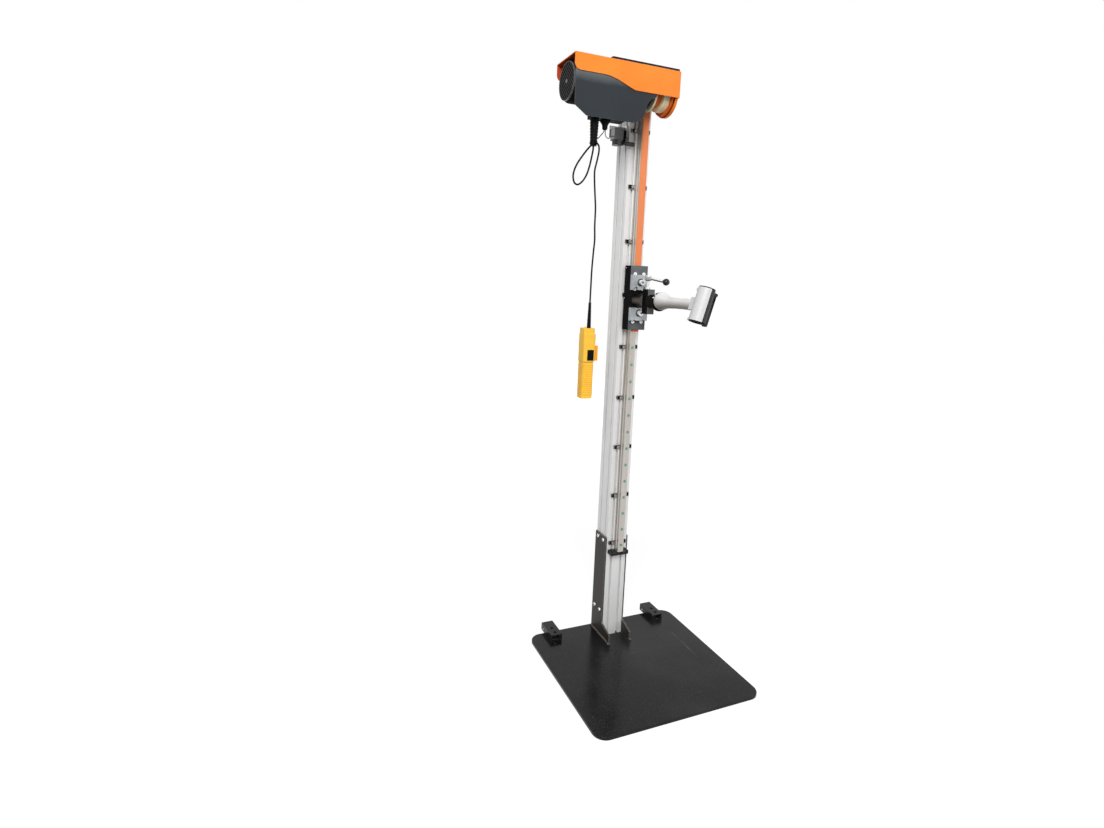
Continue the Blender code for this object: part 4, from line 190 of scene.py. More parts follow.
class NodeWork:
    """A node tree with a short way to add to it."""

    def __init__(self, tree):
        self.tree = tree

    def add(self, kind, sockets=None, **settings):
        """One node with its settings and its unlinked or linked inputs."""
        node = self.tree.nodes.new(kind)
        for key, value in settings.items():
            setattr(node, key, value)
        for key, value in (sockets or {}).items():
            if isinstance(value, bpy.types.NodeSocket):
                self.tree.links.new(value, node.inputs[key])
            else:
                node.inputs[key].default_value = value
        return node

    def math(self, operation, first, second=0.5):
        """A Math node's value."""
        return self.add("ShaderNodeMath", {0: first, 1: second}, operation=operation).outputs[0]

    def times(self, first, second):
        """Two values multiplied."""
        return self.math("MULTIPLY", first, second)


class Finish(NodeWork):
    """A Principled material with a few nodes for its pattern, kept in FINISHES by its name."""

    def __init__(self, name, colour, roughness, metallic=0.0, specular=0.5):
        FINISHES[name] = bpy.data.materials.new(name)
        FINISHES[name].use_nodes = True
        super().__init__(FINISHES[name].node_tree)
        self.colour = colour
        self.inputs = self.tree.nodes["Principled BSDF"].inputs
        self.inputs["Base Color"].default_value = (*colour, 1.0)
        self.inputs["Roughness"].default_value = roughness
        self.inputs["Metallic"].default_value = metallic
        self.inputs["Specular IOR Level"].default_value = specular

    def place(self, stretch=(1, 1, 1)):
        """The piece's own coordinates, stretched along an axis by a value under 1."""
        where = self.add("ShaderNodeTexCoord").outputs["Object"]
        return self.add("ShaderNodeMapping", {"Vector": where, "Scale": stretch}).outputs["Vector"]

    def along(self, axis):
        """The place along the piece's own X, Y or Z."""
        return self.add("ShaderNodeSeparateXYZ", {0: self.place()}).outputs[axis]

    def facing(self, direction):
        """How far the surface looks in a direction: 1 straight at it, -1 away from it."""
        sockets = {0: self.add("ShaderNodeTexCoord").outputs["Normal"], 1: direction}
        return self.add("ShaderNodeVectorMath", sockets, operation="DOT_PRODUCT").outputs["Value"]

    def noise(self, scale, stretch=(1, 1, 1), detail=3.0):
        """Noise from 0 to 1, with features of about one over scale metres."""
        sockets = {"Vector": self.place(stretch), "Scale": scale, "Detail": detail}
        return self.add("ShaderNodeTexNoise", sockets).outputs["Fac"]

    def ramp(self, value, low, high, to_low=0.0, to_high=1.0):
        """A value taken from one span to another and held inside it."""
        sockets = {"Value": value, "From Min": low, "From Max": high, "To Min": to_low, "To Max": to_high}
        return self.add("ShaderNodeMapRange", sockets, clamp=True).outputs["Result"]

    def edges(self, radius):
        """1 along sharp edges, 0 on faces, from how a rounded normal departs from the true one."""
        rounded = self.add("ShaderNodeBevel", {"Radius": radius}, samples=4).outputs["Normal"]
        flat = self.add("ShaderNodeNewGeometry").outputs["True Normal"]
        dot = self.add("ShaderNodeVectorMath", {0: rounded, 1: flat}, operation="DOT_PRODUCT").outputs["Value"]
        return self.ramp(self.math("SUBTRACT", 1.0, dot), 0.02, 0.25)

    def blend(self, share, first, second):
        """Two colours mixed by a share: a link or plain values each."""
        sockets = {0: share, 6: first, 7: second}
        sockets = {key: (*value, 1.0) if isinstance(value, tuple) else value for key, value in sockets.items()}
        return self.add("ShaderNodeMix", sockets, data_type="RGBA").outputs[2]

    def drive(self, label, socket):
        """Links a value to the shader's own input."""
        self.tree.links.new(socket, self.inputs[label])

    def mottle(self, pattern, dark, light):
        """The colour between a darker and a lighter kind of itself, as a pattern says."""
        self.drive("Base Color", self.blend(pattern, darker(self.colour, dark), brighter(self.colour, light)))

    def tint(self, share, colour):
        """The colour so far, taken towards another by a share."""
        so_far = self.inputs["Base Color"].links[0].from_socket
        self.drive("Base Color", self.blend(share, so_far, colour))

    def uneven(self, pattern, low, high, less, more):
        """A pattern that takes the roughness a little down and up."""
        middle = self.inputs["Roughness"].default_value
        self.drive("Roughness", self.ramp(pattern, low, high, middle - less, middle + more))

    def bump(self, pattern, depth):
        """A bump of a depth in metres."""
        sockets = {"Height": pattern, "Distance": depth, "Strength": 1.0}
        self.drive("Normal", self.add("ShaderNodeBump", sockets).outputs["Normal"])


def darker(colour, share):
    """A colour taken towards black."""
    return tuple(value * share for value in colour)


def brighter(colour, share):
    """A colour made brighter by a share, no further than white."""
    return tuple(min(1.0, value * (1 + share)) for value in colour)

# %% [markdown]
# Powder coat is paint baked from dust: it has a faint orange peel a millimetre or two wide, a slightly uneven
# sheen, and it wears to a paler line along edges. A few noises and an edge mask give that.

# %% Powder coats and paints


def powder_coat(name, colour, roughness, edge_colour=None, edge_share=0.5, specular=0.5, peel=0.00004):
    """Baked paint with orange peel and, if given, an edge colour: wear, and on slate a painted highlight too."""
    finish = Finish(name, colour, roughness, specular=specular)
    finish.mottle(finish.ramp(finish.noise(9.0), 0.35, 0.65), 0.92, 0.06)
    if edge_colour:
        broken = finish.ramp(finish.noise(160.0), 0.38, 0.62)
        finish.tint(finish.times(finish.edges(0.0012), finish.times(broken, edge_share)), edge_colour)
    finish.uneven(finish.noise(40.0), 0.3, 0.7, 0.05, 0.06)
    finish.bump(finish.noise(620.0, detail=1.0), peel)
    return finish


powder_coat("orange_coat", (0.950, 0.235, 0.026), 0.42, (1.0, 0.42, 0.16), 0.5, 0.25)
# Painted shade: a darker, redder copy of the cover's orange for the drum flange, which lies in shadow.
powder_coat("flange_orange", (0.720, 0.125, 0.012), 0.40, specular=0.15)
powder_coat("rim_grey", (0.110, 0.112, 0.110), 0.36, specular=0.35)
# Painted shade: a darker, redder orange for the cover's inner faces, which are lit less.
powder_coat("orange_inside", (0.460, 0.062, 0.022), 0.60, specular=0.05)
powder_coat("motor_coat", (0.0080, 0.0068, 0.0060), 0.50, (0.08, 0.08, 0.08), 0.2, 0.018, 0.00012)
powder_coat("lid_coat", (0.010, 0.011, 0.013), 0.36, (0.34, 0.38, 0.44), 0.7, 0.14)
powder_coat("bracket_coat", (0.008, 0.008, 0.008), 0.36, (0.45, 0.45, 0.45), 0.8, 0.22)
powder_coat("shoe_coat", (0.0080, 0.0080, 0.0080), 0.40, specular=0.06)
powder_coat("jaw_coat", (0.022, 0.023, 0.025), 0.40, (0.30, 0.31, 0.33), 0.7, 0.20)
powder_coat("switch_coat", (0.250, 0.258, 0.256), 0.50, (0.45, 0.45, 0.44), 0.5, 0.30)

# %% Painted shade below, painted highlights and a painted lit face


def shaded_below(finish, colour, low, high):
    """Takes a finish towards another colour on what looks down: painted shade on the underside."""
    finish.tint(finish.ramp(finish.facing((0, 0, 1)), low, high, 1.0, 0.0), colour)


def tube_with_painted_highlight(name):
    """Black paint on a round tube with a painted highlight: a bronze band along its side."""
    finish = powder_coat(name, (0.0060, 0.0055, 0.0052), 0.34, specular=0.06)
    # Painted highlight: where the surface faces sideways, it is taken towards bronze.
    from_side = finish.math("ABSOLUTE", finish.math("ADD", finish.facing((0, 0, 1)), 0.05))
    finish.tint(finish.ramp(from_side, 0.10, 0.55, 0.85, 0.0), (0.115, 0.098, 0.083))


def black_with_painted_lit_face(name):
    """Black anodising with a painted lit face: grey on the face to -Y, paler higher up, black round the tube."""
    finish = powder_coat(name, (0.0044, 0.0043, 0.0044), 0.40, (0.08, 0.085, 0.09), 0.4, 0.012)
    height = finish.along("Z")
    # Painted light: grey for the face that looks to -Y, paler higher up as a painted reflection.
    grey = finish.blend(finish.ramp(height, 1.14, 1.38), (0.105, 0.112, 0.118), (0.150, 0.160, 0.170))
    lit_face = finish.times(finish.ramp(finish.facing((0, -1, 0)), 0.55, 0.95),
                          finish.ramp(finish.noise(24.0, detail=4.0), 0.25, 0.60, 0.70, 1.0))
    # In a band round the tube the painted lit face is left out and the face stays black.
    from_tube = finish.math("ABSOLUTE", finish.math("SUBTRACT", height, 1.268))
    clear = finish.math("MAXIMUM", finish.ramp(from_tube, 0.030, 0.036, 0.04, 1.0),
                        finish.ramp(finish.along("Y"), -0.120, -0.110, 1.0, 0.0))
    finish.tint(finish.times(lit_face, clear), grey)


def slate_with_painted_sheen(name):
    """Slate paint with a painted reflection: a pale sheen that fades from the panel's top to its middle."""
    # The pale edge colour is wear and also a painted highlight, where the panel's edge catches light.
    finish = powder_coat(name, (0.025, 0.030, 0.035), 0.44, (0.42, 0.50, 0.56), 0.9, 0.16)
    waver = finish.ramp(finish.noise(7.0), 0.3, 0.7, -0.008, 0.008)
    # Painted reflection: a pale sheen near the panel's top.
    sheen = finish.ramp(finish.math("ADD", finish.along("Z"), waver), 1.905, 1.950, 0.0, 0.85)
    finish.tint(sheen, (0.185, 0.205, 0.213))


tube_with_painted_highlight("tube_coat")
black_with_painted_lit_face("carriage_coat")
slate_with_painted_sheen("slate_coat")
print("powder coats:", sorted(FINISHES))

# %% [markdown]
# The floor plate is satin black and walked on. It shows long faint scratches, cloudy scuffs and a few pale specks.
# The scratches are stretched noise in two directions, thresholded so that only the thinnest crests remain.

# %% The floor plate's paint


def trodden_paint(name, colour, roughness):
    """Satin paint with scratches, scuffs and specks."""
    finish = Finish(name, colour, roughness, specular=0.18)
    clouds = finish.ramp(finish.noise(3.6), 0.42, 0.72)
    finish.mottle(finish.times(clouds, 0.8), 0.60, 2.6)
    grain = finish.ramp(finish.noise(230.0, detail=2.0), 0.52, 0.66, 0.0, 0.6)
    finish.tint(grain, brighter(colour, 2.4))
    across = finish.ramp(finish.noise(150.0, (0.02, 1.0, 1.0), 0.0), 0.76, 0.84)
    along = finish.ramp(finish.noise(130.0, (1.0, 0.02, 1.0), 0.0), 0.76, 0.84)
    broken = finish.ramp(finish.noise(11.0), 0.50, 0.75)
    lines = finish.times(finish.math("MAXIMUM", across, along), broken)
    finish.tint(finish.times(lines, 0.55), (0.14, 0.14, 0.145))
    specks = finish.ramp(finish.noise(300.0, detail=0.0), 0.82, 0.90)
    finish.tint(finish.times(specks, 0.7), (0.22, 0.22, 0.22))
    finish.tint(finish.times(finish.edges(0.0016), 0.30), (0.10, 0.10, 0.11))
    finish.uneven(clouds, 0.0, 1.0, 0.05, 0.10)
    finish.bump(finish.noise(480.0, detail=1.0), 0.00003)


trodden_paint("plate_coat", (0.0065, 0.0066, 0.0071), 0.24)

# %% [markdown]
# Extruded and drawn metal carries fine lines along its length, and milled metal along the cutter's path.
# The same idea serves for all: noise squeezed across the grain and stretched along it, which moves the roughness
# and a very small bump.

# %% Metals


def drawn_metal(name, colour, roughness, grain, metallic, contrast, edge_colour=None, reach=0.0012, specular=0.5):
    """Metal with fine lines along an axis: grain holds a small value for that axis."""
    finish = Finish(name, colour, roughness, metallic, specular)
    lines = finish.noise(900.0, grain, 2.0)
    finish.mottle(finish.ramp(lines, 0.3, 0.7), 1 - contrast, contrast * 0.6)
    finish.tint(finish.ramp(finish.noise(7.0, detail=4.0), 0.45, 0.75, 0.0, 0.35), darker(colour, 0.78))
    if edge_colour:
        finish.tint(finish.times(finish.edges(reach), 0.8), edge_colour)
    finish.uneven(lines, 0.25, 0.75, 0.06, 0.08)
    finish.bump(lines, 0.00001)
    return finish


ALONG_Z = (1.0, 1.0, 0.01)
ALONG_X = (0.02, 1.0, 1.0)
EVEN = (1.0, 1.0, 1.0)
drawn_metal("anodised", (0.860, 0.860, 0.855), 0.42, ALONG_Z, 0.20, 0.05)
drawn_metal("ground_rail", (0.500, 0.470, 0.435), 0.28, ALONG_Z, 0.85, 0.12)
# Painted highlight: dark_steel's broad pale edges are wear and also light caught along the side plates' edges.
drawn_metal("dark_steel", (0.040, 0.034, 0.028), 0.42, ALONG_Z, 0.15, 0.35, (0.60, 0.59, 0.57), 0.0026, 0.16)
drawn_metal("milled_block", (0.400, 0.420, 0.435), 0.42, ALONG_X, 0.40, 0.10, (0.10, 0.105, 0.110), 0.0018)
lever = drawn_metal("lever_steel", (0.780, 0.770, 0.760), 0.22, EVEN, 0.15, 0.05)
# Painted shade: the lever's underside is painted darker.
shaded_below(lever, (0.070, 0.056, 0.046), -0.40, 0.50)
drawn_metal("screw_chrome", (0.960, 0.960, 0.965), 0.20, EVEN, 0.15, 0.04)
zinc = drawn_metal("bright_zinc", (0.780, 0.780, 0.785), 0.26, EVEN, 0.55, 0.08)
# Painted shade: the zinc's underside is painted darker.
shaded_below(zinc, (0.150, 0.140, 0.132), -0.75, -0.10)
drawn_metal("black_screw", (0.014, 0.014, 0.015), 0.30, EVEN, 0.2, 0.20)

# %% [markdown]
# Castings and mouldings have no direction. A cast coat is mottled, moulded plastic has a fine matt grain, and
# rubber is dull with a bloom of dust. One function with a few knobs makes all of them.

# %% Castings, plastics and rubber


def moulded(name, colour, roughness, grain=700.0, depth=0.00005, mottle=0.10, specular=0.5):
    """A direction-free surface: mottled colour, uneven sheen and a fine grain."""
    finish = Finish(name, colour, roughness, specular=specular)
    finish.mottle(finish.ramp(finish.noise(22.0, detail=5.0), 0.32, 0.70), 1 - mottle, mottle * 0.5)
    dirt = finish.ramp(finish.noise(75.0, detail=6.0), 0.58, 0.80, 0.0, mottle * 2)
    finish.tint(dirt, darker(colour, 0.6))
    finish.uneven(finish.noise(60.0), 0.3, 0.7, 0.05, 0.07)
    finish.bump(finish.noise(grain, detail=2.0), depth)
    return finish


cast = moulded("cast_coat", (0.800, 0.796, 0.788), 0.42, 420.0, 0.00010, 0.08)
# Painted shade: the cast arm's underside is painted darker.
shaded_below(cast, (0.170, 0.150, 0.132), -0.80, 0.50)
moulded("jaw_face_coat", (0.655, 0.655, 0.655), 0.42, 420.0, 0.00006, 0.04)
moulded("black_moulding", (0.0060, 0.0060, 0.0064), 0.44, specular=0.04)
moulded("grille_black", (0.024, 0.025, 0.024), 0.46, specular=0.06)
moulded("boot_rubber", (0.0062, 0.0062, 0.0066), 0.46, 500.0, specular=0.05)
moulded("liner_rubber", (0.0065, 0.0065, 0.0065), 0.62, 300.0, 0.00010, specular=0.04)
moulded("wheel_rubber", (0.085, 0.076, 0.068), 0.70, 260.0, 0.00012, 0.25, specular=0.25)
moulded("cord_jacket", (0.0055, 0.0055, 0.0055), 0.48, 900.0, 0.00002, specular=0.05)
moulded("wire_jacket", (0.300, 0.285, 0.275), 0.50, 900.0, 0.00002, specular=0.20)
moulded("hub_cream", (1.000, 0.920, 0.610), 0.40, 600.0, 0.00003, 0.03, specular=0.40)
moulded("control_yellow", (0.975, 0.570, 0.060), 0.42, 520.0, 0.00005, 0.05, specular=0.25)
moulded("grip_yellow", (0.930, 0.500, 0.045), 0.46, 520.0, 0.00005, 0.05, specular=0.20)
# Painted shade: a deeper orange for the guard side of the hand control, which lies in shadow.
moulded("control_orange", (0.950, 0.370, 0.030), 0.44, 520.0, 0.00005, 0.06, specular=0.25)
moulded("socket_shadow", (0.004, 0.004, 0.004), 0.60, specular=0.05)
moulded("plug_green", (0.140, 0.300, 0.210), 0.50)
moulded("ball_black", (0.006, 0.006, 0.0065), 0.16, 300.0, 0.00001, specular=0.35)
print("finishes:", len(FINISHES))

# %% [markdown]
# The lifting strap is woven webbing 25 mm wide. Real webbing shows a fine herringbone: warp ribs down its length,
# crossed by slanting weft every millimetre or two. Two waves multiplied make the weave, and a mask darkens the two
# woven edges. The pattern reads the strap's own map, so that it stays on the strap as the strap winds.

# %% Webbing
STRAP_HALF = 0.0125
WARP_PITCH, WEFT_PITCH, SLANT_WIDTH = 0.0011, 0.0016, 0.0031
SELVAGE = (0.0108, 0.0118)


def webbing(name, colour, dirt):
    """Woven strap: reads the map whose u runs across the strap and v along it, both in metres."""
    finish = Finish(name, colour, 0.78, specular=0.25)
    parts = finish.add("ShaderNodeSeparateXYZ", {0: finish.add("ShaderNodeUVMap", uv_map="webbing").outputs["UV"]})
    across, along = parts.outputs["X"], parts.outputs["Y"]
    shear = finish.math("ADD", along, finish.math("PINGPONG", across, SLANT_WIDTH))
    warp = finish.math("SINE", finish.times(across, 2 * math.pi / WARP_PITCH))
    weft = finish.math("SINE", finish.times(shear, 2 * math.pi / WEFT_PITCH))
    weave = finish.ramp(finish.times(warp, weft), -1.0, 1.0)
    finish.mottle(weave, 0.76, 0.08)
    from_middle = finish.math("ABSOLUTE", finish.math("SUBTRACT", across, STRAP_HALF))
    finish.tint(finish.times(finish.ramp(from_middle, *SELVAGE), 0.5), darker(colour, 0.62))
    worn = finish.ramp(finish.noise(30.0, (1, 1, 0.25), 5.0), 0.42, 0.75)
    finish.tint(finish.times(worn, 0.35), dirt)
    finish.bump(weave, 0.00025)
    finish.inputs["Sheen Weight"].default_value = 0.25
    finish.inputs["Sheen Roughness"].default_value = 0.5


webbing("strap_webbing", (0.950, 0.270, 0.095), (0.72, 0.22, 0.09))
webbing("wound_webbing", (1.000, 0.200, 0.022), (0.740, 0.140, 0.020))
webbing("tail_webbing", (0.880, 0.130, 0.045), (0.55, 0.10, 0.05))
for name, item in CORDS.items():
    item.data.materials.append(FINISHES["wire_jacket" if name == "thin_wire_to_switch" else "cord_jacket"])

# %% [markdown]
# Shapes come next, and a few shop tools for them. Turned pieces are a profile swept round an axis, flat pieces are
# a filled outline with a small rounded edge, and boxes are a cube with a bevel. A Boolean or a sculpt could make
# them too, but sweeps and outlines stay clean where light runs along an edge.

# %% Shop tools: points and corners


def arc(across, up, radius, start, end, count):
    """Points of an arc in a plane, both ends included."""
    angles = [start + (end - start) * k / (count - 1) for k in range(count)]
    return [(across + radius * math.cos(angle), up + radius * math.sin(angle)) for angle in angles]


def rounded(x, y, radius, count=6):
    """A rectangle with round corners."""
    points = []
    for centre, quarter in (((x[1] - radius, y[1] - radius), 0), ((x[0] + radius, y[1] - radius), 1),
                            ((x[0] + radius, y[0] + radius), 2), ((x[1] - radius, y[0] + radius), 3)):
        start = quarter * math.pi / 2
        points += arc(*centre, radius, start, start + math.pi / 2, count)
    return points


def eased_line(points, radius, steps=3, closed=False):
    """The same line with its corners rounded."""
    line = [Vector(point) for point in points]
    result = []
    for index, corner in enumerate(line):
        if not closed and index in (0, len(line) - 1):
            result.append(tuple(corner))
            continue
        before, after = line[index - 1] - corner, line[(index + 1) % len(line)] - corner
        reach = min(radius, 0.45 * before.length, 0.45 * after.length)
        start = corner + before.normalized() * reach
        end = corner + after.normalized() * reach
        for step in range(steps + 1):
            t = step / steps
            result.append(tuple(start * (1 - t) ** 2 + corner * 2 * t * (1 - t) + end * t ** 2))
    return result


# %% Shop tools: meshes and baking


def shape_of(*meshes):
    """A bmesh that holds one or several meshes."""
    shape = bmesh.new()
    for mesh in meshes:
        shape.from_mesh(mesh)
    return shape


def from_shape(name, shape, angle=35):
    """An object of a bmesh, shaded smooth but for its sharp edges."""
    mesh = bpy.data.meshes.new(name)
    shape.to_mesh(mesh)
    shape.free()
    mesh.shade_smooth()
    mesh.set_sharp_from_angle(angle=math.radians(angle))
    return link(name, mesh)


def bake(item, angle=35, merge=0.000005, outward=False):
    """Turns a piece with modifiers or curves into a plain mesh whose object sits at the origin."""
    bpy.context.view_layer.update()
    graph = bpy.context.evaluated_depsgraph_get()
    mesh = bpy.data.meshes.new_from_object(item.evaluated_get(graph))
    mesh.transform(item.matrix_world)
    name = item.name
    bpy.data.objects.remove(item)
    shape = shape_of(mesh)
    bpy.data.meshes.remove(mesh)
    bmesh.ops.remove_doubles(shape, verts=shape.verts, dist=merge)
    if outward:
        bmesh.ops.recalc_face_normals(shape, faces=shape.faces)
    return from_shape(name, shape, angle)


def set_finish(item, finish):
    """Gives every face of a piece one finish."""
    item.data.materials.clear()
    item.data.materials.append(FINISHES[finish])


def second_finish(item, finish, chosen):
    """Gives a second finish to the faces that a test chooses by their centre and normal."""
    item.data.materials.append(FINISHES[finish])
    index = len(item.data.materials) - 1
    count = 0
    for face in item.data.polygons:
        if chosen(face.center, face.normal):
            face.material_index = index
            count += 1
    print(item.name, "has", count, "faces in", finish)


# Slot and finish of what comes up often.
ZINC = ("bright_steel", "bright_zinc")
SOCKET = ("black_plastic", "socket_shadow")
MOULDED = ("black_plastic", "black_moulding")


def keep_flats_even(mesh):
    """Weighs each corner's normal by the area of the faces that share it, so that a wide flat face beside a
    rounded edge keeps one even shade."""
    corners, faces = len(mesh.loops), len(mesh.polygons)
    vertex, sizes, areas = np.empty(corners, np.int32), np.empty(faces, np.int32), np.empty(faces, np.float32)
    shaded, straight = np.empty(corners * 3, np.float32), np.empty(faces * 3, np.float32)
    mesh.loops.foreach_get("vertex_index", vertex)
    mesh.polygons.foreach_get("loop_total", sizes)
    mesh.polygons.foreach_get("area", areas)
    mesh.polygons.foreach_get("normal", straight)
    mesh.corner_normals.foreach_get("vector", shaded)
    # Corners at one vertex that share a shaded normal belong to one smooth run of faces.
    keys = np.column_stack([vertex, np.round(shaded.reshape(-1, 3) * 5000).astype(np.int32)])
    runs, run = np.unique(keys, axis=0, return_inverse=True)
    run = run.reshape(-1)
    share = np.repeat(straight.reshape(-1, 3) * areas[:, None], sizes, axis=0)
    total = np.zeros((len(runs), 3))
    np.add.at(total, run, share)
    length = np.linalg.norm(total, axis=1, keepdims=True)
    weighed = np.where(length > 1e-12, total / np.maximum(length, 1e-12), runs[:, 1:] / 5000)
    mesh.normals_split_custom_set(weighed[run])


def fit(item, body, slot, finish, *nodes):
    """A finished piece: its material, the body it moves with, and the solids it stands for; slot is not used."""
    set_finish(item, finish)
    keep_flats_even(item.data)
    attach(item, body)
    if nodes:
        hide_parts(*nodes)
    print(item.name, "on", body, "has", len(item.data.polygons), "faces")
    return item


# %% Shop tools: turned, flat and square pieces


def at_axis(axis, across, position, side, up):
    """The point beside an axis: side and up are measured across it."""
    place = [across[0] + side, across[1] + up]
    place.insert("XYZ".index(axis), position)
    return place


def wall(inner, outer, start, end):
    """The profile of a plain ring, or of a rod where inner is 0."""
    return [(inner, start), (outer, start), (outer, end), (inner, end)]


def lathe(name, axis, across, profile, sides, ease=0.0, steps=2, angle=35):
    """A turned piece from rows of radius and position along its axis, and a rise where its centre leaves the axis.
    A profile that starts off the axis closes to a ring, and ease is the radius of its corners."""
    closed = profile[0][0] > 0
    if ease:
        profile = eased_line(profile, ease, steps, closed)
    shape = bmesh.new()
    rings = []
    for radius, position, *rise in profile:
        turns = [2 * math.pi * k / sides for k in range(sides if radius > 1e-6 else 1)]
        rings.append([shape.verts.new(at_axis(axis, across, position, radius * math.cos(turn),
                                              radius * math.sin(turn) + sum(rise))) for turn in turns])
    for first, second in [*zip(rings, rings[1:]), *([(rings[-1], rings[0])] if closed else [])]:
        for k in range(sides):
            after = (k + 1) % sides
            corners = [first[k % len(first)], first[after % len(first)], second[after % len(second)],
                       second[k % len(second)]]
            corners = list(dict.fromkeys(corners))
            if len(corners) > 2:
                shape.faces.new(corners)
    bmesh.ops.recalc_face_normals(shape, faces=shape.faces)
    return from_shape(name, shape, angle)


def slab(name, loops, span, edge, upright=False):
    """A flat piece with rounded edges, lying or upright: the first outline is its rim, the others are holes."""
    curve = bpy.data.curves.new(name, "CURVE")
    curve.dimensions = "2D"
    curve.fill_mode = "BOTH"
    curve.extrude = (span[1] - span[0]) / 2 - edge
    curve.bevel_depth = edge
    curve.bevel_resolution = 2
    curve.offset = -edge
    for index, points in enumerate(loops):
        points = points[::-1] if index else points
        add_spline(curve, [(*point, 0) for point in points]).use_cyclic_u = True
    item = link(name, curve)
    middle = sum(span) / 2
    shift = (0, middle, 0) if upright else (0, 0, middle)
    item.matrix_world = Matrix.Translation(shift) @ Matrix.Rotation(math.pi / 2 * upright, 4, "X")
    return bake(item, merge=0.00001, outward=True)


def block(name, x, y, z, edge, segments=2, matrix=None):
    """A box with rounded edges, turned by a matrix if one is given."""
    shape = bmesh.new()
    bmesh.ops.create_cube(shape, size=1.0)
    bmesh.ops.scale(shape, vec=(x[1] - x[0], y[1] - y[0], z[1] - z[0]), verts=shape.verts)
    bmesh.ops.translate(shape, vec=(sum(x) / 2, sum(y) / 2, sum(z) / 2), verts=shape.verts)
    bmesh.ops.bevel(shape, geom=shape.edges[:], offset=edge, segments=segments, profile=0.5, affect="EDGES",
                    clamp_overlap=True)
    if matrix:
        bmesh.ops.transform(shape, matrix=matrix, verts=shape.verts)
    return from_shape(name, shape)


def joined(name, *pieces):
    """Several pieces with the same finish as one object."""
    shape = shape_of(*(piece.data for piece in pieces))
    for piece in pieces:
        bpy.data.objects.remove(piece)
    return from_shape(name, shape)


def eased(node, name, width, angle=40):
    """A copy of a solid whose sharp edges are rounded, as a real edge always is."""
    shape = shape_of(NODES[node].data)
    bmesh.ops.remove_doubles(shape, verts=shape.verts, dist=0.00001)
    bmesh.ops.dissolve_limit(shape, angle_limit=math.radians(0.5), verts=shape.verts, edges=shape.edges)
    item = from_shape(name, shape, angle)
    bevel = item.modifiers.new("Eased edges", "BEVEL")
    bevel.width = width
    bevel.segments = 2
    bevel.limit_method = "ANGLE"
    bevel.angle_limit = math.radians(angle)
    bevel.use_clamp_overlap = True
    return bake(item, angle)


def dress(node, name, width, body, slot, finish):
    """A solid with its edges eased by a width, fitted in its place."""
    return fit(eased(node, name, width), body, slot, finish, node)


print("shop tools ready for", len(NODES), "solids")

# %% [markdown]
# Repeated pieces are grown by Geometry Nodes. A tree could hold every shape inside it, but here each tree takes the
# piece to repeat as a named input, so that one tree serves screw heads and sockets alike. Each tree ends in
# Realize Instances and Set Material, and the result is baked to a plain mesh.

# %% Node trees: a builder


class Grower(NodeWork):
    """A geometry node tree that repeats a piece, with named inputs."""

    def __init__(self, name, **inputs):
        super().__init__(bpy.data.node_groups.new(name, "GeometryNodeTree"))
        new_socket = self.tree.interface.new_socket
        for label, kind in {"Geometry": "Geometry", "Piece": "Object", **inputs, "Finish": "Material"}.items():
            new_socket(name=label, in_out="INPUT", socket_type="NodeSocket" + kind)
        new_socket(name="Geometry", in_out="OUTPUT", socket_type="NodeSocketGeometry")
        self.given = self.add("NodeGroupInput").outputs

    def line(self, start, step):
        """As many points as the Count input says, from a start by a step."""
        sockets = {"Count": self.given["Count"], "Start Location": start, "Offset": step}
        return self.add("GeometryNodeMeshLine", sockets, mode="OFFSET", count_mode="TOTAL").outputs["Mesh"]

    def copies(self, points, **sockets):
        """The piece on every point, made real and given its finish."""
        piece = self.add("GeometryNodeObjectInfo", {"Object": self.given["Piece"]}, transform_space="ORIGINAL")
        sockets = {"Points": points, "Instance": piece.outputs["Geometry"], **sockets}
        placed = self.add("GeometryNodeInstanceOnPoints", sockets).outputs["Instances"]
        real = self.add("GeometryNodeRealizeInstances", {"Geometry": placed}).outputs["Geometry"]
        done = self.add("GeometryNodeSetMaterial", {"Geometry": real, "Material": self.given["Finish"]})
        self.add("NodeGroupOutput", {"Geometry": done.outputs["Geometry"]})
        return self.tree


def grow(name, tree, values, finish, points=()):
    """Runs a tree on an object of loose points and bakes the result. A piece given as an input is used up."""
    mesh = bpy.data.meshes.new(name)
    mesh.from_pydata([point for point, facing in points] or [(0, 0, 0)], [], [])
    if points:
        facing = mesh.attributes.new("facing", "FLOAT_VECTOR", "POINT")
        for target, (point, direction) in zip(facing.data, points):
            target.vector = direction
    item = link(name, mesh)
    modifier = item.modifiers.new("Grow", "NODES")
    modifier.node_group = tree
    values = {**values, "Finish": FINISHES[finish]}
    for socket in tree.interface.items_tree:
        if socket.in_out == "INPUT" and socket.name in values:
            modifier[socket.identifier] = values[socket.name]
    result = bake(item)
    bpy.data.objects.remove(values["Piece"])
    return result


# %% Node trees: pieces on points, pieces in a row, pieces round a ring
on_points = Grower("pieces_on_points", Size="Float")
facing = on_points.add("GeometryNodeInputNamedAttribute", {"Name": "facing"}, data_type="FLOAT_VECTOR")
aligned = on_points.add("FunctionNodeAlignRotationToVector", {"Vector": facing.outputs["Attribute"]}, axis="Z")
ON_POINTS = on_points.copies(on_points.given["Geometry"], Rotation=aligned.outputs["Rotation"],
                             Scale=on_points.given["Size"])

in_row = Grower("pieces_in_a_row", Count="Int", Start="Vector", Step="Vector")
IN_ROW = in_row.copies(in_row.line(in_row.given["Start"], in_row.given["Step"]))

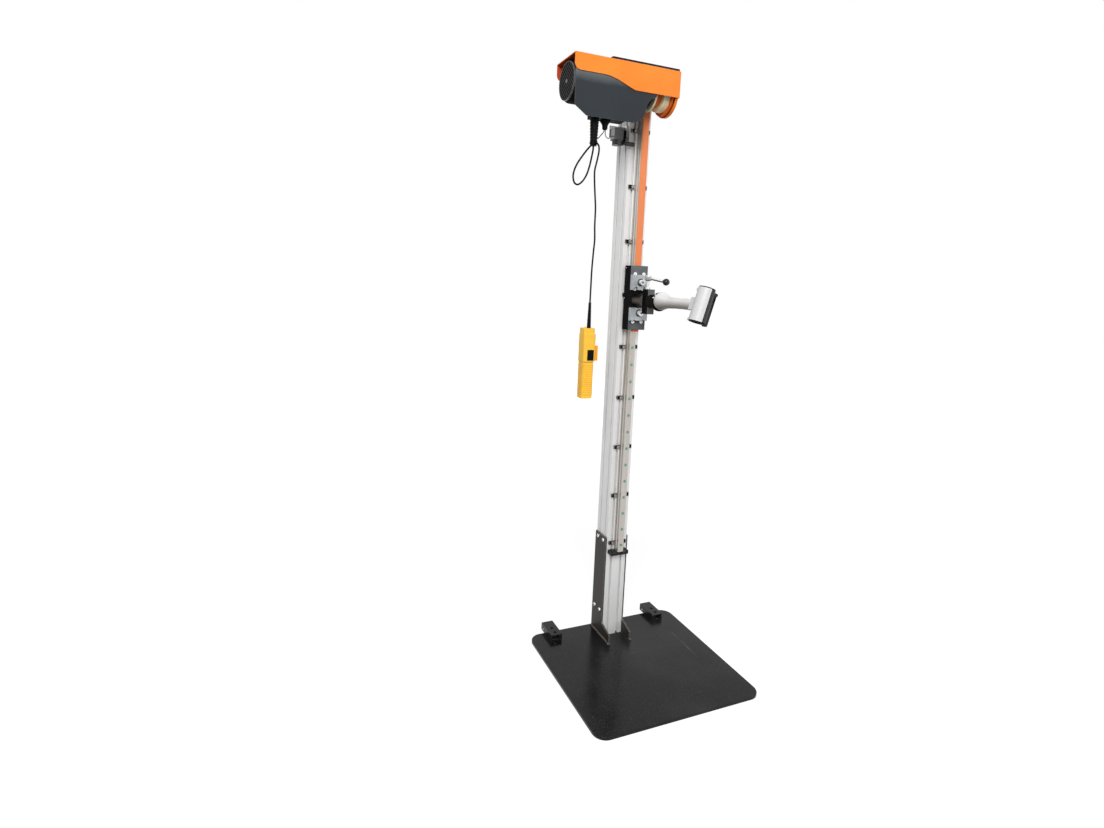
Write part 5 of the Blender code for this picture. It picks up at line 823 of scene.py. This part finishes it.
round_axis = Grower("pieces_round_an_axis", Count="Int", Centre="Vector")
share = round_axis.math("DIVIDE", round_axis.add("GeometryNodeInputIndex").outputs[0], round_axis.given["Count"])
turned = round_axis.add("ShaderNodeCombineXYZ", {"X": round_axis.times(share, 2 * math.pi)}).outputs["Vector"]
ROUND_AXIS = round_axis.copies(round_axis.line(round_axis.given["Centre"], (0, 0, 0)), Rotation=turned)
print("trees:", [tree.name for tree in (ON_POINTS, IN_ROW, ROUND_AXIS)])


def pieces_on(points, name, body, slot, finish, piece):
    """Copies of a piece on points, each turned to the direction its point faces, fitted as one."""
    return fit(grow(name, ON_POINTS, {"Piece": piece, "Size": 1.0}, finish, points), body, slot, finish)


def row_of(count, start, step, name, body, slot, finish, piece):
    """Copies of a piece in a row, fitted as one."""
    values = {"Piece": piece, "Count": count, "Start": start, "Step": step}
    return fit(grow(name, IN_ROW, values, finish), body, slot, finish)

# %% [markdown]
# A button-head screw is a low dome with a hexagon socket. The sockets here are only two to six millimetres wide,
# but they are what makes a screw look like one, so heads and sockets are both grown at the same points: the head
# itself, and a dark six-sided plug that stands a tenth of a millimetre proud of it, as painted shade for the
# recess.

# %% Screws with sockets


def dome(radius, height):
    """A domed head about its own axis, with its seat at zero."""
    profile = [(0, height), (radius * 0.45, height), (radius * 0.72, height * 0.86), (radius * 0.93, height * 0.52),
               (radius, height * 0.22), (radius, 0), (0, 0)]
    return lathe("head", "Z", (0, 0), profile, 20)


def cap(radius, height):
    """A cylindrical cap head with a small chamfer."""
    return lathe("head", "Z", (0, 0), wall(0, radius, height, 0), 28, radius * 0.12)


def hexagon(radius, top):
    """The dark hexagon of a socket: painted shade in place of its recess."""
    return lathe("socket", "Z", (0, 0), wall(0, radius, top, top - 0.001), 6)


def screws(name, body, slot, finish, head, radius, height, socket, points):
    """Heads and sockets at points, each with the direction it faces."""
    pieces_on(points, name + "_heads", body, slot, finish, head(radius, height))
    pieces_on(points, name + "_sockets", body, *SOCKET, hexagon(socket, height + 0.0001))

# %% [markdown]
# The foot: a plate 600 by 560 mm with rounded corners, two upright side plates welded to it, and at the rear two
# folded brackets that each hold a small transport wheel. The plate is a filled outline with a slightly rounded
# rim. The side plates keep their solids' shape with eased edges, and the weld is a row of overlapping beads.

# %% Floor plate
SIDES = ((-1, "left"), (1, "right"))
WHEEL_X = {"left": -0.213, "right": 0.219}
BRACKET_SCREWS = [(x, y) for x in WHEEL_X.values() for y in (0.004, 0.032)]
PLATE_X, PLATE_Y, PLATE_TOP = (-0.300, 0.300), (-0.511, 0.049), 0.010
PLATE_CORNER, HOLE_RADIUS = 0.042, 0.0033

holes = [arc(x, y, HOLE_RADIUS, 0, 2 * math.pi, 17)[:-1] for x, y in BRACKET_SCREWS]
rim = rounded(PLATE_X, PLATE_Y, PLATE_CORNER, 14)
plate = slab("floor_plate", [rim, *holes], (0.0, PLATE_TOP), 0.0012)
fit(plate, "root", "plate_black", "plate_coat", "base_plate")

# %% Side plates with their screws and weld beads
UPRIGHT_FACE, WELD = 0.0453, (0.0467, -0.0990, 0.0128)
BEADS, BEAD_STEP = 47, 0.0030
BEAD = [(0, -0.0026), (0.0026, -0.0013), (0.0031, 0.0006), (0.0024, 0.0024), (0, 0.0028)]
for side, word in SIDES:
    dress("side_plate_" + word, "upright_" + word, 0.0006, "root", "dark_steel", "dark_steel")
    points = [((side * UPRIGHT_FACE, y, z), (side, 0, 0)) for z in (0.106, 0.380) for y in (-0.020, 0.020)]
    screws("upright_screws_" + word, "root", *ZINC, dome, 0.0072, 0.0042, 0.0026, points)
    bead = lathe("bead", "Y", (0, 0), BEAD, 12, 0.0008)
    row_of(BEADS, (side * WELD[0], *WELD[1:]), (0, BEAD_STEP, 0), "weld_" + word, "root", "dark_steel",
           "dark_steel", bead)

# %% Wheel brackets, wheels and axles
WHEEL_AXIS, PIN_HALF = (0.0658, 0.0148), 0.0215
HALF_TREAD = [(0.0033, 0.0135), (0.0060, 0.0135), (0.0060, 0.0122), (0.0112, 0.0122), (0.0125, 0.0108)]
for word, centre in WHEEL_X.items():
    dress("wheel_bracket_" + word, "bracket_" + word, 0.0009, "root", "black_oxide", "bracket_coat")
    tread = [*((radius, centre - half) for radius, half in HALF_TREAD),
             *((radius, centre + half) for radius, half in reversed(HALF_TREAD))]
    wheel = lathe("roller_" + word, "X", WHEEL_AXIS, tread, 40, 0.0006)
    fit(wheel, "wheel_" + word, "wheel_rubber", "wheel_rubber", "transport_wheel_" + word)
    pin = wall(0, 0.0030, centre - PIN_HALF, centre + PIN_HALF)
    axle = lathe("roller_pin_" + word, "X", WHEEL_AXIS, pin, 20, 0.0005)
    fit(axle, "root", *ZINC, "wheel_axle_" + word)
screws("bracket_screws", "root", "black_oxide", "black_screw", cap, 0.0050, 0.0050, 0.0024,
       [((x, y, PLATE_TOP + 0.0053), (0, 0, 1)) for x, y in BRACKET_SCREWS])

# %% [markdown]
# The column is an extruded aluminium profile with two T-slots in each face, and the rail bolted to its front guides
# the carriage. Both solids are already right: the column only has its edges eased. Pairs of small clamps press the
# rail to the column every 180 mm, and plastic plugs close the rail's own screw holes every 60 mm: both are rows.

# %% Column, rail, plugs and clamps
RAIL_FRONT, RAIL_TOP = -0.0715, 1.816
PLUGS, PLUG_STEP, CLAMPS, CLAMP_STEP = 25, 0.060, 9, 0.180
dress("column_profile", "column", 0.0006, "root", "anodised", "anodised")
set_finish(NODES["guide_rail"], "ground_rail")
plug = lathe("plug", "Y", (0, 0), wall(0, 0.0052, -0.0005, 0.0002), 24, 0.0002)
row_of(PLUGS, (0, RAIL_FRONT, RAIL_TOP), (0, 0, -PLUG_STEP), "rail_plugs", "root", "black_plastic", "plug_green",
       plug)
for side, word in SIDES:
    shoe = block("shoe", sorted((0.0, side * 0.0231)), (-0.0062, 0.0), (-0.0067, 0.0067), 0.0009)
    row_of(CLAMPS, (side * 0.0120, -0.0402, RAIL_TOP), (0, 0, -CLAMP_STEP), "rail_shoes_" + word, "root",
           "black_oxide", "shoe_coat", shoe)
    points = [((side * 0.020, -0.0464, RAIL_TOP - CLAMP_STEP * index), (0, -1, 0)) for index in range(CLAMPS)]
    screws("shoe_screws_" + word, "root", *ZINC, dome, 0.0046, 0.0020, 0.0019, points)
dress("rail_end_stop", "end_stop", 0.0008, "root", "black_oxide", "bracket_coat")

# %% [markdown]
# The winch hangs under a folded sheet-metal cover. Its motor is a finned cylinder with a fan cowl and a grille at
# the left end, then come the gearbox and the drum with its strap. All of these are round about one axis, so they
# are turned profiles. The cover is cut flat and folded in real life, and here its solid only has its edges eased.

# %% Cover, lid, panel and hangers
WINCH = (-0.1105, 1.911)


def looks_inward(centre, normal):
    """Whether a face of the cover looks towards the winch's axis."""
    return (centre.y - WINCH[0]) * normal.y + (centre.z - WINCH[1]) * normal.z < -0.010


cover = dress("winch_cover", "cover_sheet", 0.0011, "root", "cover_orange", "orange_coat")
# Painted shade: the faces that look inward take the darker orange.
second_finish(cover, "orange_inside", looks_inward)
dress("mounting_plate", "lid_plate", 0.0008, "root", "carriage_black", "lid_coat")
dress("side_panel", "slate_panel", 0.0006, "root", "panel_slate", "slate_coat")
for node, finish in (("motor_hanger", "motor_coat"), ("gearbox_hanger", "motor_coat"),
                     ("motor_fan", "black_moulding"), ("drum_shaft", "dark_steel"), ("drum_bearing", "dark_steel")):
    set_finish(NODES[node], finish)

# %% Motor with its cooling fins, and the fan cowl
core = [(0, -0.2538), (0.0585, -0.2538), (0.0585, -0.2403), (0.0455, -0.2398), (0.0455, -0.1215),
        (0.0440, -0.1203), (0, -0.1203)]
fin = block("fin", (-0.2385, -0.1208), (-0.00085, 0.00085), (0.0440, 0.0499), 0.0006)
fins = grow("motor_fins", ROUND_AXIS, {"Piece": fin, "Count": 36, "Centre": (0, *WINCH)}, "motor_coat")
motor = joined("motor_with_fins", lathe("motor_core", "X", WINCH, core, 64, 0.0010, 3), fins)
fit(motor, "root", "motor_grey", "motor_coat", "motor_body")
cowl = [(0.0610, -0.2406), (0.0610, -0.2890), (0.0595, -0.2950), (0.0555, -0.3008), (0.0537, -0.3000),
        (0.0575, -0.2945), (0.0590, -0.2885), (0.0590, -0.2406)]
fit(lathe("cowl", "X", WINCH, cowl, 64, 0.0012, 3), "root", "motor_grey", "motor_coat", "fan_cowl")

# %% Grille: slanting bars inside a ring
GRILLE = (-0.3072, -0.3014)
BAR_X, BAR_PITCH, BAR_HALF = (GRILLE[0] + 0.0004, GRILLE[1]), 0.0085, 0.0020
SLANT = Matrix.Translation((0, *WINCH)) @ Matrix.Rotation(math.radians(45), 4, "X")
rim = lathe("grille_rim", "X", WINCH, wall(0.0536, 0.0553, *GRILLE), 64, 0.0006)
bars = [lathe("grille_band", "X", WINCH, wall(0.0508, 0.0534, *BAR_X), 64, 0.0004)]
boss = lathe("grille_boss", "X", WINCH, wall(0, 0.0062, GRILLE[0] - 0.0001, GRILLE[1]), 24, 0.0006)
for offset in (BAR_PITCH * (index + 0.5) for index in range(-6, 6)):
    half = math.sqrt(0.0530 ** 2 - offset ** 2)
    bars.append(block("bar", BAR_X, (-half, half), (offset - BAR_HALF, offset + BAR_HALF), 0.0004, 1, SLANT))
fit(joined("diagonal_grille", *bars), "root", "black_plastic", "grille_black", "fan_grille")
fit(joined("grille_ring", rim, boss), "root", "black_plastic", "rim_grey")

# %% Gearbox, drum and flange
case = [(0, -0.0243), (0.018, -0.0243), (0.018, -0.0303), (0.048, -0.0303), (0.048, -0.0385), (0.044, -0.0425),
        (0.044, -0.0820), (0.048, -0.0840), (0.048, -0.1160), (0.042, -0.1199), (0, -0.1199)]
fit(lathe("gear_case", "X", WINCH, case, 64, 0.0012, 3), "root", "motor_grey", "motor_coat", "gearbox")
hub = [(0.0103, 0.0357), (0.046, 0.0357), (0.046, 0.02235), (0.0445, 0.02235), (0.0445, 0.02085), (0.046, 0.02085),
       (0.046, 0.014), (0.026, 0.014), (0.026, -0.014), (0.050, -0.014), (0.050, -0.020), (0.0103, -0.020)]
fit(lathe("cream_hub", "X", WINCH, hub, 64, 0.0006), "drum", "hub_cream", "hub_cream", "drum_hub")
flange = lathe("orange_flange", "X", WINCH, wall(0.0103, 0.0560, 0.0360, 0.0420), 64, 0.0008)
# Painted shade: the flange takes the darker orange.
fit(flange, "drum", "cover_orange", "flange_orange", "drum_flange")

# %% The strap that winds on the drum
WOUND_TURNS, TURN_STEPS, TURN_FILL = 3, 60, 0.86
WOUND_FROM, WOUND_TO, WOUND_MIDDLE = 0.0263, 0.0330, 0.030


def woven(name, points, faces, places, angle):
    """A mesh of webbing with its own map: how far each corner is across the strap and along it, in metres."""
    mesh = bpy.data.meshes.new(name)
    mesh.from_pydata(points, [], faces)
    layer = mesh.uv_layers.new(name="webbing")
    for target, place in zip(layer.data, places):
        target.uv = place
    shape = shape_of(mesh)
    bpy.data.meshes.remove(mesh)
    bmesh.ops.recalc_face_normals(shape, faces=shape.faces)
    return from_shape(name, shape, angle)


def winding():
    """The strap wound on its drum, as a spiral band."""
    pitch = (WOUND_TO - WOUND_FROM) / WOUND_TURNS
    total = WOUND_TURNS * TURN_STEPS
    points, faces, places = [], [], []
    for index in range(total + 1):
        angle = -2 * math.pi * index / TURN_STEPS
        radius = WOUND_FROM + (WOUND_TO - WOUND_FROM - pitch) * index / total
        points += [(side, WINCH[0] + reach * math.cos(angle), WINCH[1] + reach * math.sin(angle))
                   for reach in (radius, radius + pitch * TURN_FILL) for side in (-STRAP_HALF, STRAP_HALF)]
    step = 2 * math.pi * WOUND_MIDDLE / TURN_STEPS
    for index in range(total):
        a, b = 4 * index, 4 * index + 4
        quads = [(a, a + 1, b + 1, b), (a + 3, a + 2, b + 2, b + 3), (a + 2, a, b, b + 2),
                 (a + 1, a + 3, b + 3, b + 1)]
        faces += quads
        places += [(2 * STRAP_HALF * (corner % 2), step * (index + (corner >= b)))
                   for quad in quads for corner in quad]
    a = 4 * total
    faces += [(0, 2, 3, 1), (a + 1, a + 3, a + 2, a)]
    return woven("wound_strap", points, faces, places + [(0.0, 0.0)] * 8, 40)


fit(winding(), "drum", "strap_orange", "wound_webbing", "strap_winding")

# %% [markdown]
# Under the winch hang a control box, the cord's ribbed boot, a cable gland and, on the column's side, the limit
# switch that stops the carriage at the top.

# %% Control box, boot and gland
BOOT, BOOT_TOP = (-0.221, -0.140), 1.8063
dress("control_box", "black_cabinet", 0.0012, "root", *MOULDED)


def ribbed(name, across, top, bottom, top_radius, bottom_radius, ribs, depth):
    """A tapered rubber sleeve with round ribs."""
    profile = [(0, top), (top_radius, top)]
    length = (top - bottom) / ribs
    for index in range(ribs):
        for share, shrink in ((0.08, 0.0), (0.52, 0.0), (0.60, depth), (0.93, depth), (1.0, 0.0)):
            height = top - (index + share) * length
            radius = top_radius + (bottom_radius - top_radius) * (top - height) / (top - bottom)
            profile.append((radius - shrink, height))
    return lathe(name, "Z", across, [*profile, (0, bottom)], 32, 0.0006, angle=50)


sleeve = ribbed("sleeve", BOOT, BOOT_TOP, 1.728, 0.0140, 0.0108, 9, 0.0011)
band = lathe("tie_band", "Z", BOOT, wall(0.0095, 0.0124, 1.7340, 1.7385), 32, 0.0006)
eye = lathe("tie_eye", "X", (-0.1570, 1.7338), wall(0.00395, 0.0060, -0.2205, -0.2185), 28, 0.0005)
fit(joined("cord_sleeve", sleeve, band, eye), "root", "black_plastic", "boot_rubber", "cord_boot")
gland = [(0, BOOT_TOP), (0.0160, BOOT_TOP), (0.0160, 1.8030), (0.0120, 1.7981), (0.0088, 1.7921), (0.0084, 1.7834),
         (0.0068, 1.7800), (0.0048, 1.7790), (0, 1.7790)]
gland = lathe("wire_gland", "Z", (-0.1845, BOOT[1]), gland, 32, 0.0008)
fit(gland, "root", *MOULDED, "cable_gland")

# %% Limit switch
SIDE_HOUSING_X, ROUND_HEAD_Z = -0.0573, 1.7795
switch = dress("limit_switch_body", "switch_body", 0.0010, "root", "switch_grey", "switch_coat")
second_finish(switch, "black_moulding", lambda centre, normal: centre.x > SIDE_HOUSING_X)
second_finish(switch, "rim_grey", lambda centre, normal: centre.z < ROUND_HEAD_Z and centre.x <= SIDE_HOUSING_X)
lid = block("switch_lid", (-0.0893, -0.0886), (-0.0285, 0.0005), (1.7870, 1.8200), 0.0003)
fit(lid, "root", "bright_steel", "milled_block")
dress("limit_switch_bracket", "switch_bracket", 0.0004, "root", *ZINC)
dress("limit_switch_lever", "switch_lever", 0.0003, "limit_lever", "black_oxide", "black_screw")
screws("switch_screws", "root", *ZINC, dome, 0.0026, 0.0012, 0.0010,
       [((-0.0725, y, 1.8220), (0, 0, 1)) for y in (-0.0060, -0.0220)])

# %% [markdown]
# The strap comes off the drum's rear side and runs straight down into the carriage. Webbing is woven, so its
# surface carries coordinates of its own: across the width, and along the length in metres.

# %% Straps
STRAP_X, RUN_Y, RUN_Z = (-STRAP_HALF, STRAP_HALF), (-0.077, -0.075), (1.3678, 1.911)


def strip(name, y, z, steps):
    """A strap's straight run as a thin band with rounded edges."""
    middle, thick = sum(y) / 2, (y[1] - y[0]) / 2
    section = [(a, middle + b) for a, b in rounded(STRAP_X, (-thick, thick), thick * 0.8, 3)]
    count = len(section)
    points = [(a, b, z[0] + (z[1] - z[0]) * step / steps) for step in range(steps + 1) for a, b in section]
    faces = [(step * count + k, step * count + (k + 1) % count, (step + 1) * count + (k + 1) % count,
              (step + 1) * count + k) for step in range(steps) for k in range(count)]
    faces += [tuple(range(count - 1, -1, -1)), tuple(range(steps * count, (steps + 1) * count))]
    places = [(points[corner][0] + STRAP_HALF, points[corner][2]) for face in faces for corner in face]
    return woven(name, points, faces, places, 50)


run = strip("strap_run", RUN_Y, RUN_Z, 60)
set_finish(run, "strap_webbing")
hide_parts("strap")
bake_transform(run)
tail = strip("strap_end", (-0.0832, -0.0812), (1.1517, 1.1697), 6)
fit(tail, "carriage", "strap_orange", "tail_webbing", "strap_tail")

# %% [markdown]
# The carriage is a black channel round two bearing blocks that run on the rail. Six screws hold the blocks, and two
# silver blocks with one thick bolt each clamp the pivot tube to it.

# %% Carriage
FACE = -0.088
BLOCK_FACE = FACE - 0.0003 - 0.0127
dress("carriage_cover", "carriage_channel", 0.0009, "carriage", "carriage_black", "carriage_coat")
for word in ("upper", "lower"):
    set_finish(NODES["bearing_block_" + word], "motor_coat")
    dress("clamp_block_" + word, "silver_block_" + word, 0.0009, "carriage", "block_silver", "milled_block")
screws("face_screws", "carriage", "bright_steel", "screw_chrome", cap, 0.0060, 0.0034, 0.0016,
       [((side * 0.0165, FACE, height), (0, -1, 0)) for height in (1.187, 1.297, 1.347) for side in (-1, 1)])
bolt = [*wall(0, 0.0098, BLOCK_FACE - 0.0143, BLOCK_FACE - 0.0003)[:3], (0.0050, BLOCK_FACE - 0.0003),
        (0.0050, -0.0755), (0, -0.0755)]
washer = wall(0.0052, 0.0125, BLOCK_FACE - 0.0022, BLOCK_FACE - 0.0002)
for height, word in ((1.217, "lower"), (1.3195, "upper")):
    fit(lathe("thick_bolt_" + word, "Y", (0, height), bolt, 48, 0.0009, 3), "carriage", *ZINC, "block_bolt_" + word)
    fit(lathe("washer_" + word, "Y", (0, height), washer, 40, 0.0004), "carriage", "black_oxide", "black_screw")
    pieces_on([((0, BLOCK_FACE, height), (0, -1, 0))], "thick_bolt_socket_" + word, "carriage", *SOCKET,
              hexagon(0.0032, 0.0144))
nipples = [((-0.0330, -0.0545, height), (-1, 0, 0)) for height in (1.265, 1.367)]
pieces_on(nipples, "grease_nipples", "carriage", *ZINC, dome(0.0031, 0.0036))

# %% Pivot tube and box
PIVOT = (0, 1.260)
tube = lathe("tube", "Y", PIVOT, wall(0.0103, 0.0240, -0.0883, -0.1380), 64, 0.0010, 3)
fit(tube, "carriage", "carriage_black", "tube_coat", "pivot_tube")
dress("pivot_box", "pivot_housing", 0.0014, "carriage", "carriage_black", "carriage_coat")
dress("clamp_stud", "lever_stud", 0.0004, "carriage", *ZINC)

# %% Clamping lever and its ball
LEVER_Y, HUB_LOW, HUB_TOP = -0.148, 1.3260, 1.3440
LEVER_TURN, LEVER_DROP = math.radians(-45), math.radians(11)
ROD, BALL, BALL_AT = (0.0048, 0.0482), 0.0115, 0.060
hub = [(0, HUB_TOP), (0.0072, HUB_TOP), (0.0096, HUB_TOP - 0.002), (0.0105, HUB_TOP - 0.005),
       (0.0105, HUB_LOW + 0.003), (0.0088, HUB_LOW), (0, HUB_LOW)]
hub = lathe("lever_boss", "Z", (0, LEVER_Y), hub, 40, 0.0008, 3)
heading = Vector((math.cos(LEVER_TURN) * math.cos(LEVER_DROP), math.sin(LEVER_TURN) * math.cos(LEVER_DROP),
                  -math.sin(LEVER_DROP)))
start = Vector((0, LEVER_Y, (HUB_LOW + HUB_TOP) / 2))
ALONG_LEVER = Matrix.Translation(start) @ heading.to_track_quat("Z", "Y").to_matrix().to_4x4()
rod = lathe("rod", "Z", (0, 0), wall(0, ROD[0], 0, ROD[1]), 28)
rod.data.transform(ALONG_LEVER)
fit(joined("bright_lever", hub, rod), "lever", "bright_steel", "lever_steel", "clamp_lever")
pieces_on([((0, LEVER_Y, HUB_TOP), (0, 0, 1))], "lever_socket", "lever", *SOCKET, hexagon(0.0030, 0.0001))
turns = [math.pi * k / 24 for k in range(25)]
ball = lathe("ball", "Z", (0, 0), [(BALL * math.sin(turn), BALL_AT - BALL * math.cos(turn)) for turn in turns], 40)
ball.data.transform(ALONG_LEVER)
fit(ball, "lever", "black_plastic", "ball_black", "lever_knob")

# %% [markdown]
# The arm is a casting: a straight neck that swells into a bulb beside the collar. Two jaws, one cast with the arm
# and one hinged, close round a tube between rubber liners. A turned profile gives the bulb its even
# curve, and the jaws keep their solids' shape with eased edges.

# %% Arm and collar
ARM_START, COLLAR_END = -0.2258, -0.2255
# Radius, distance from the start and rise of each station.
STATIONS = [(0.0245, 0.0000, 0.003), (0.0270, 0.0030, 0.003), (0.0285, 0.0080, 0.003), (0.0283, 0.0140, 0.003),
            (0.0252, 0.0240, 0.0024), (0.0215, 0.0360, 0.00135), (0.0188, 0.0500, 0.00045), (0.0175, 0.0660, 0),
            (0.0167, 0.0880, 0), (0.0165, 0.1300, 0), (0.0178, 0.1802, 0)]
stations = [Vector(station) for station in STATIONS]
outside = [(radius, ARM_START - distance, rise)
           for radius, distance, rise in smoothed(stations, stations[0], stations[-1], 4)]
shaft = [(0, -0.0890), (0.0100, -0.0890), (0.0100, ARM_START), (0.0233, ARM_START, 0.003),
         (0.0241, ARM_START - 0.0004, 0.003)]
bar = lathe("cast_arm", "Y", PIVOT, [*shaft, *outside[1:], (0, outside[-1][1])], 64)
fit(bar, "arm", "cast_grey", "cast_coat", "arm")
collar = [(0.0103, -0.1711), (0.0215, -0.1711), (0.0215, -0.2125), (0.0300, -0.2185), (0.0300, COLLAR_END),
          (0.0103, COLLAR_END)]
collar = lathe("collar", "Y", PIVOT, collar, 64, 0.0012, 3)
fit(collar, "arm", "carriage_black", "motor_coat", "pivot_collar")
screws("collar_screws", "arm", *ZINC, dome, 0.0030, 0.0014, 0.0012,
       [((x, COLLAR_END, PIVOT[1] + z), (0, -1, 0)) for x, z in ((-0.0255, 0.0126), (-0.0188, 0.0201))])

# %% Jaws, liners and the closing lever
for row in (
    ("fixed_jaw", "cast_jaw", 0.0008, "arm", "cast_grey", "jaw_face_coat"),
    ("moving_jaw", "hinged_jaw", 0.0008, "jaw", "jaw_dark", "jaw_coat"),
    ("fixed_jaw_liner", "rubber_fixed", 0.0007, "arm", "liner_rubber", "liner_rubber"),
    ("moving_jaw_liner", "rubber_moving", 0.0007, "jaw", "liner_rubber", "liner_rubber"),
    ("jaw_lever", "closing_lever", 0.0014, "handle", "jaw_dark", "jaw_coat"),
):
    dress(*row)

# %% [markdown]
# The hand control hangs on its cord: a ribbed sleeve, a yellow-orange body with a squarer head, a guard beside the
# black rocker, and shallow grip ribs lower down. Its shell is a moulding, so every edge is round.

# %% Hand control
GUARD_X, GRIP_X, GRIP_Y = -0.1895, (-0.2320, -0.1910), (-0.1605, -0.1195)
sleeve = ribbed("control_sleeve", (-0.207, -0.140), 1.250, 1.1688, 0.0045, 0.0068, 12, 0.0006)
fit(sleeve, "root", "black_plastic", "boot_rubber", "pendant_boot")
shell = dress("pendant_body", "control_shell", 0.0020, "root", "pendant_yellow", "control_yellow")
# Painted shade: the shell on the guard's side takes the deeper orange.
second_finish(shell, "control_orange", lambda centre, normal: centre.x > GUARD_X)
rib = slab("rib", [rounded(GRIP_X, GRIP_Y, 0.0085)], (-0.0012, 0.0012), 0.0006)
row_of(15, (0, 0, 1.0500), (0, 0, -0.0068), "grip_ribs", "root", "pendant_yellow", "grip_yellow", rib)

# %% The rocker and its frame
ROCKER_X, ROCKER_Z, HEAD_Y = -0.2080, 1.083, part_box("pendant_body")[0][1]
loops = [rounded((ROCKER_X - wide, ROCKER_X + wide), (ROCKER_Z - tall, ROCKER_Z + tall), corner, 3)
         for wide, tall, corner in ((0.0112, 0.0172, 0.0015), (0.0093, 0.0145, 0.0010))]
frame_of_rocker = slab("rocker_frame", loops, (HEAD_Y - 0.0010, HEAD_Y + 0.0004), 0.0003, upright=True)
fit(frame_of_rocker, "root", *MOULDED)
dress("rocker_switch", "rocker_key", 0.0008, "rocker", *MOULDED)

# %% [markdown]
# The light is a plain studio: one large soft panel at the front left, a weaker one at the right, and a pale
# surround. The camera, mirror reflections and glass see a white surround, and only diffuse light sees a dimmer one,
# so that shapes keep their shade. The floor works the same way: it is pale paint with its shadow, and to the camera
# it glows a little, so that it fades into the white behind it. A curved backdrop could do this too, but it would
# show a seam from some sides.

# %% The surround
WHITE = (1.0, 1.0, 1.0, 1.0)
SURROUND_LIGHT, WHITE_LIGHT = 0.32, 1.0


def white_for_view(work):
    """1 for camera, mirror and glass rays, 0 for all others."""
    rays = work.add("ShaderNodeLightPath").outputs
    seen = work.math("MAXIMUM", rays["Is Camera Ray"], rays["Is Glossy Ray"])
    return work.math("MAXIMUM", seen, rays["Is Transmission Ray"])


world = bpy.data.worlds.new("studio")
bpy.context.scene.world = world
world.use_nodes = True
world.node_tree.nodes.clear()
sky = NodeWork(world.node_tree)
dim, bright = (sky.add("ShaderNodeBackground", {"Color": WHITE, "Strength": strength}).outputs[0]
               for strength in (SURROUND_LIGHT, WHITE_LIGHT))
mixed = sky.add("ShaderNodeMixShader", {0: white_for_view(sky), 1: dim, 2: bright})
sky.add("ShaderNodeOutputWorld", {"Surface": mixed.outputs[0]})

# %% Lights
LIT_POINT = Vector((0.0, -0.1, 1.2))
for name, place, size, power in (("key_panel", (-2.0, -3.3, 3.5), 2.2, 172.0),
                                 ("side_panel_light", (2.8, -1.6, 2.4), 2.0, 40.0)):
    data = bpy.data.lights.new(name, "AREA")
    data.energy = power
    data.size = size
    item = link(name, data)
    item.location = place
    item.rotation_euler = (LIT_POINT - item.location).to_track_quat("-Z", "Y").to_euler()

# %% Floor
FLOOR_HALF, FLOOR_Z = 6, -0.0005
corners = [(x * FLOOR_HALF, y * FLOOR_HALF, FLOOR_Z) for x, y in ((-1, -1), (1, -1), (1, 1), (-1, 1))]
ground = bpy.data.meshes.new("studio_floor")
ground.from_pydata(corners, [], [(0, 1, 2, 3)])
ground = link("studio_floor", ground)
paint = Finish("floor_paint", (0.32, 0.32, 0.32), 0.80, specular=0.0)
paint.inputs["Emission Color"].default_value = WHITE
distance = paint.add("ShaderNodeVectorMath", {0: paint.place()}, operation="LENGTH").outputs["Value"]
glow = paint.ramp(distance, 0.8, 3.5, 0.78, 1.0)
paint.drive("Emission Strength", paint.times(white_for_view(paint), glow))
set_finish(ground, "floor_paint")
bpy.context.scene.view_settings.view_transform = "Standard"

# %% Update the scene
bpy.context.view_layer.update()
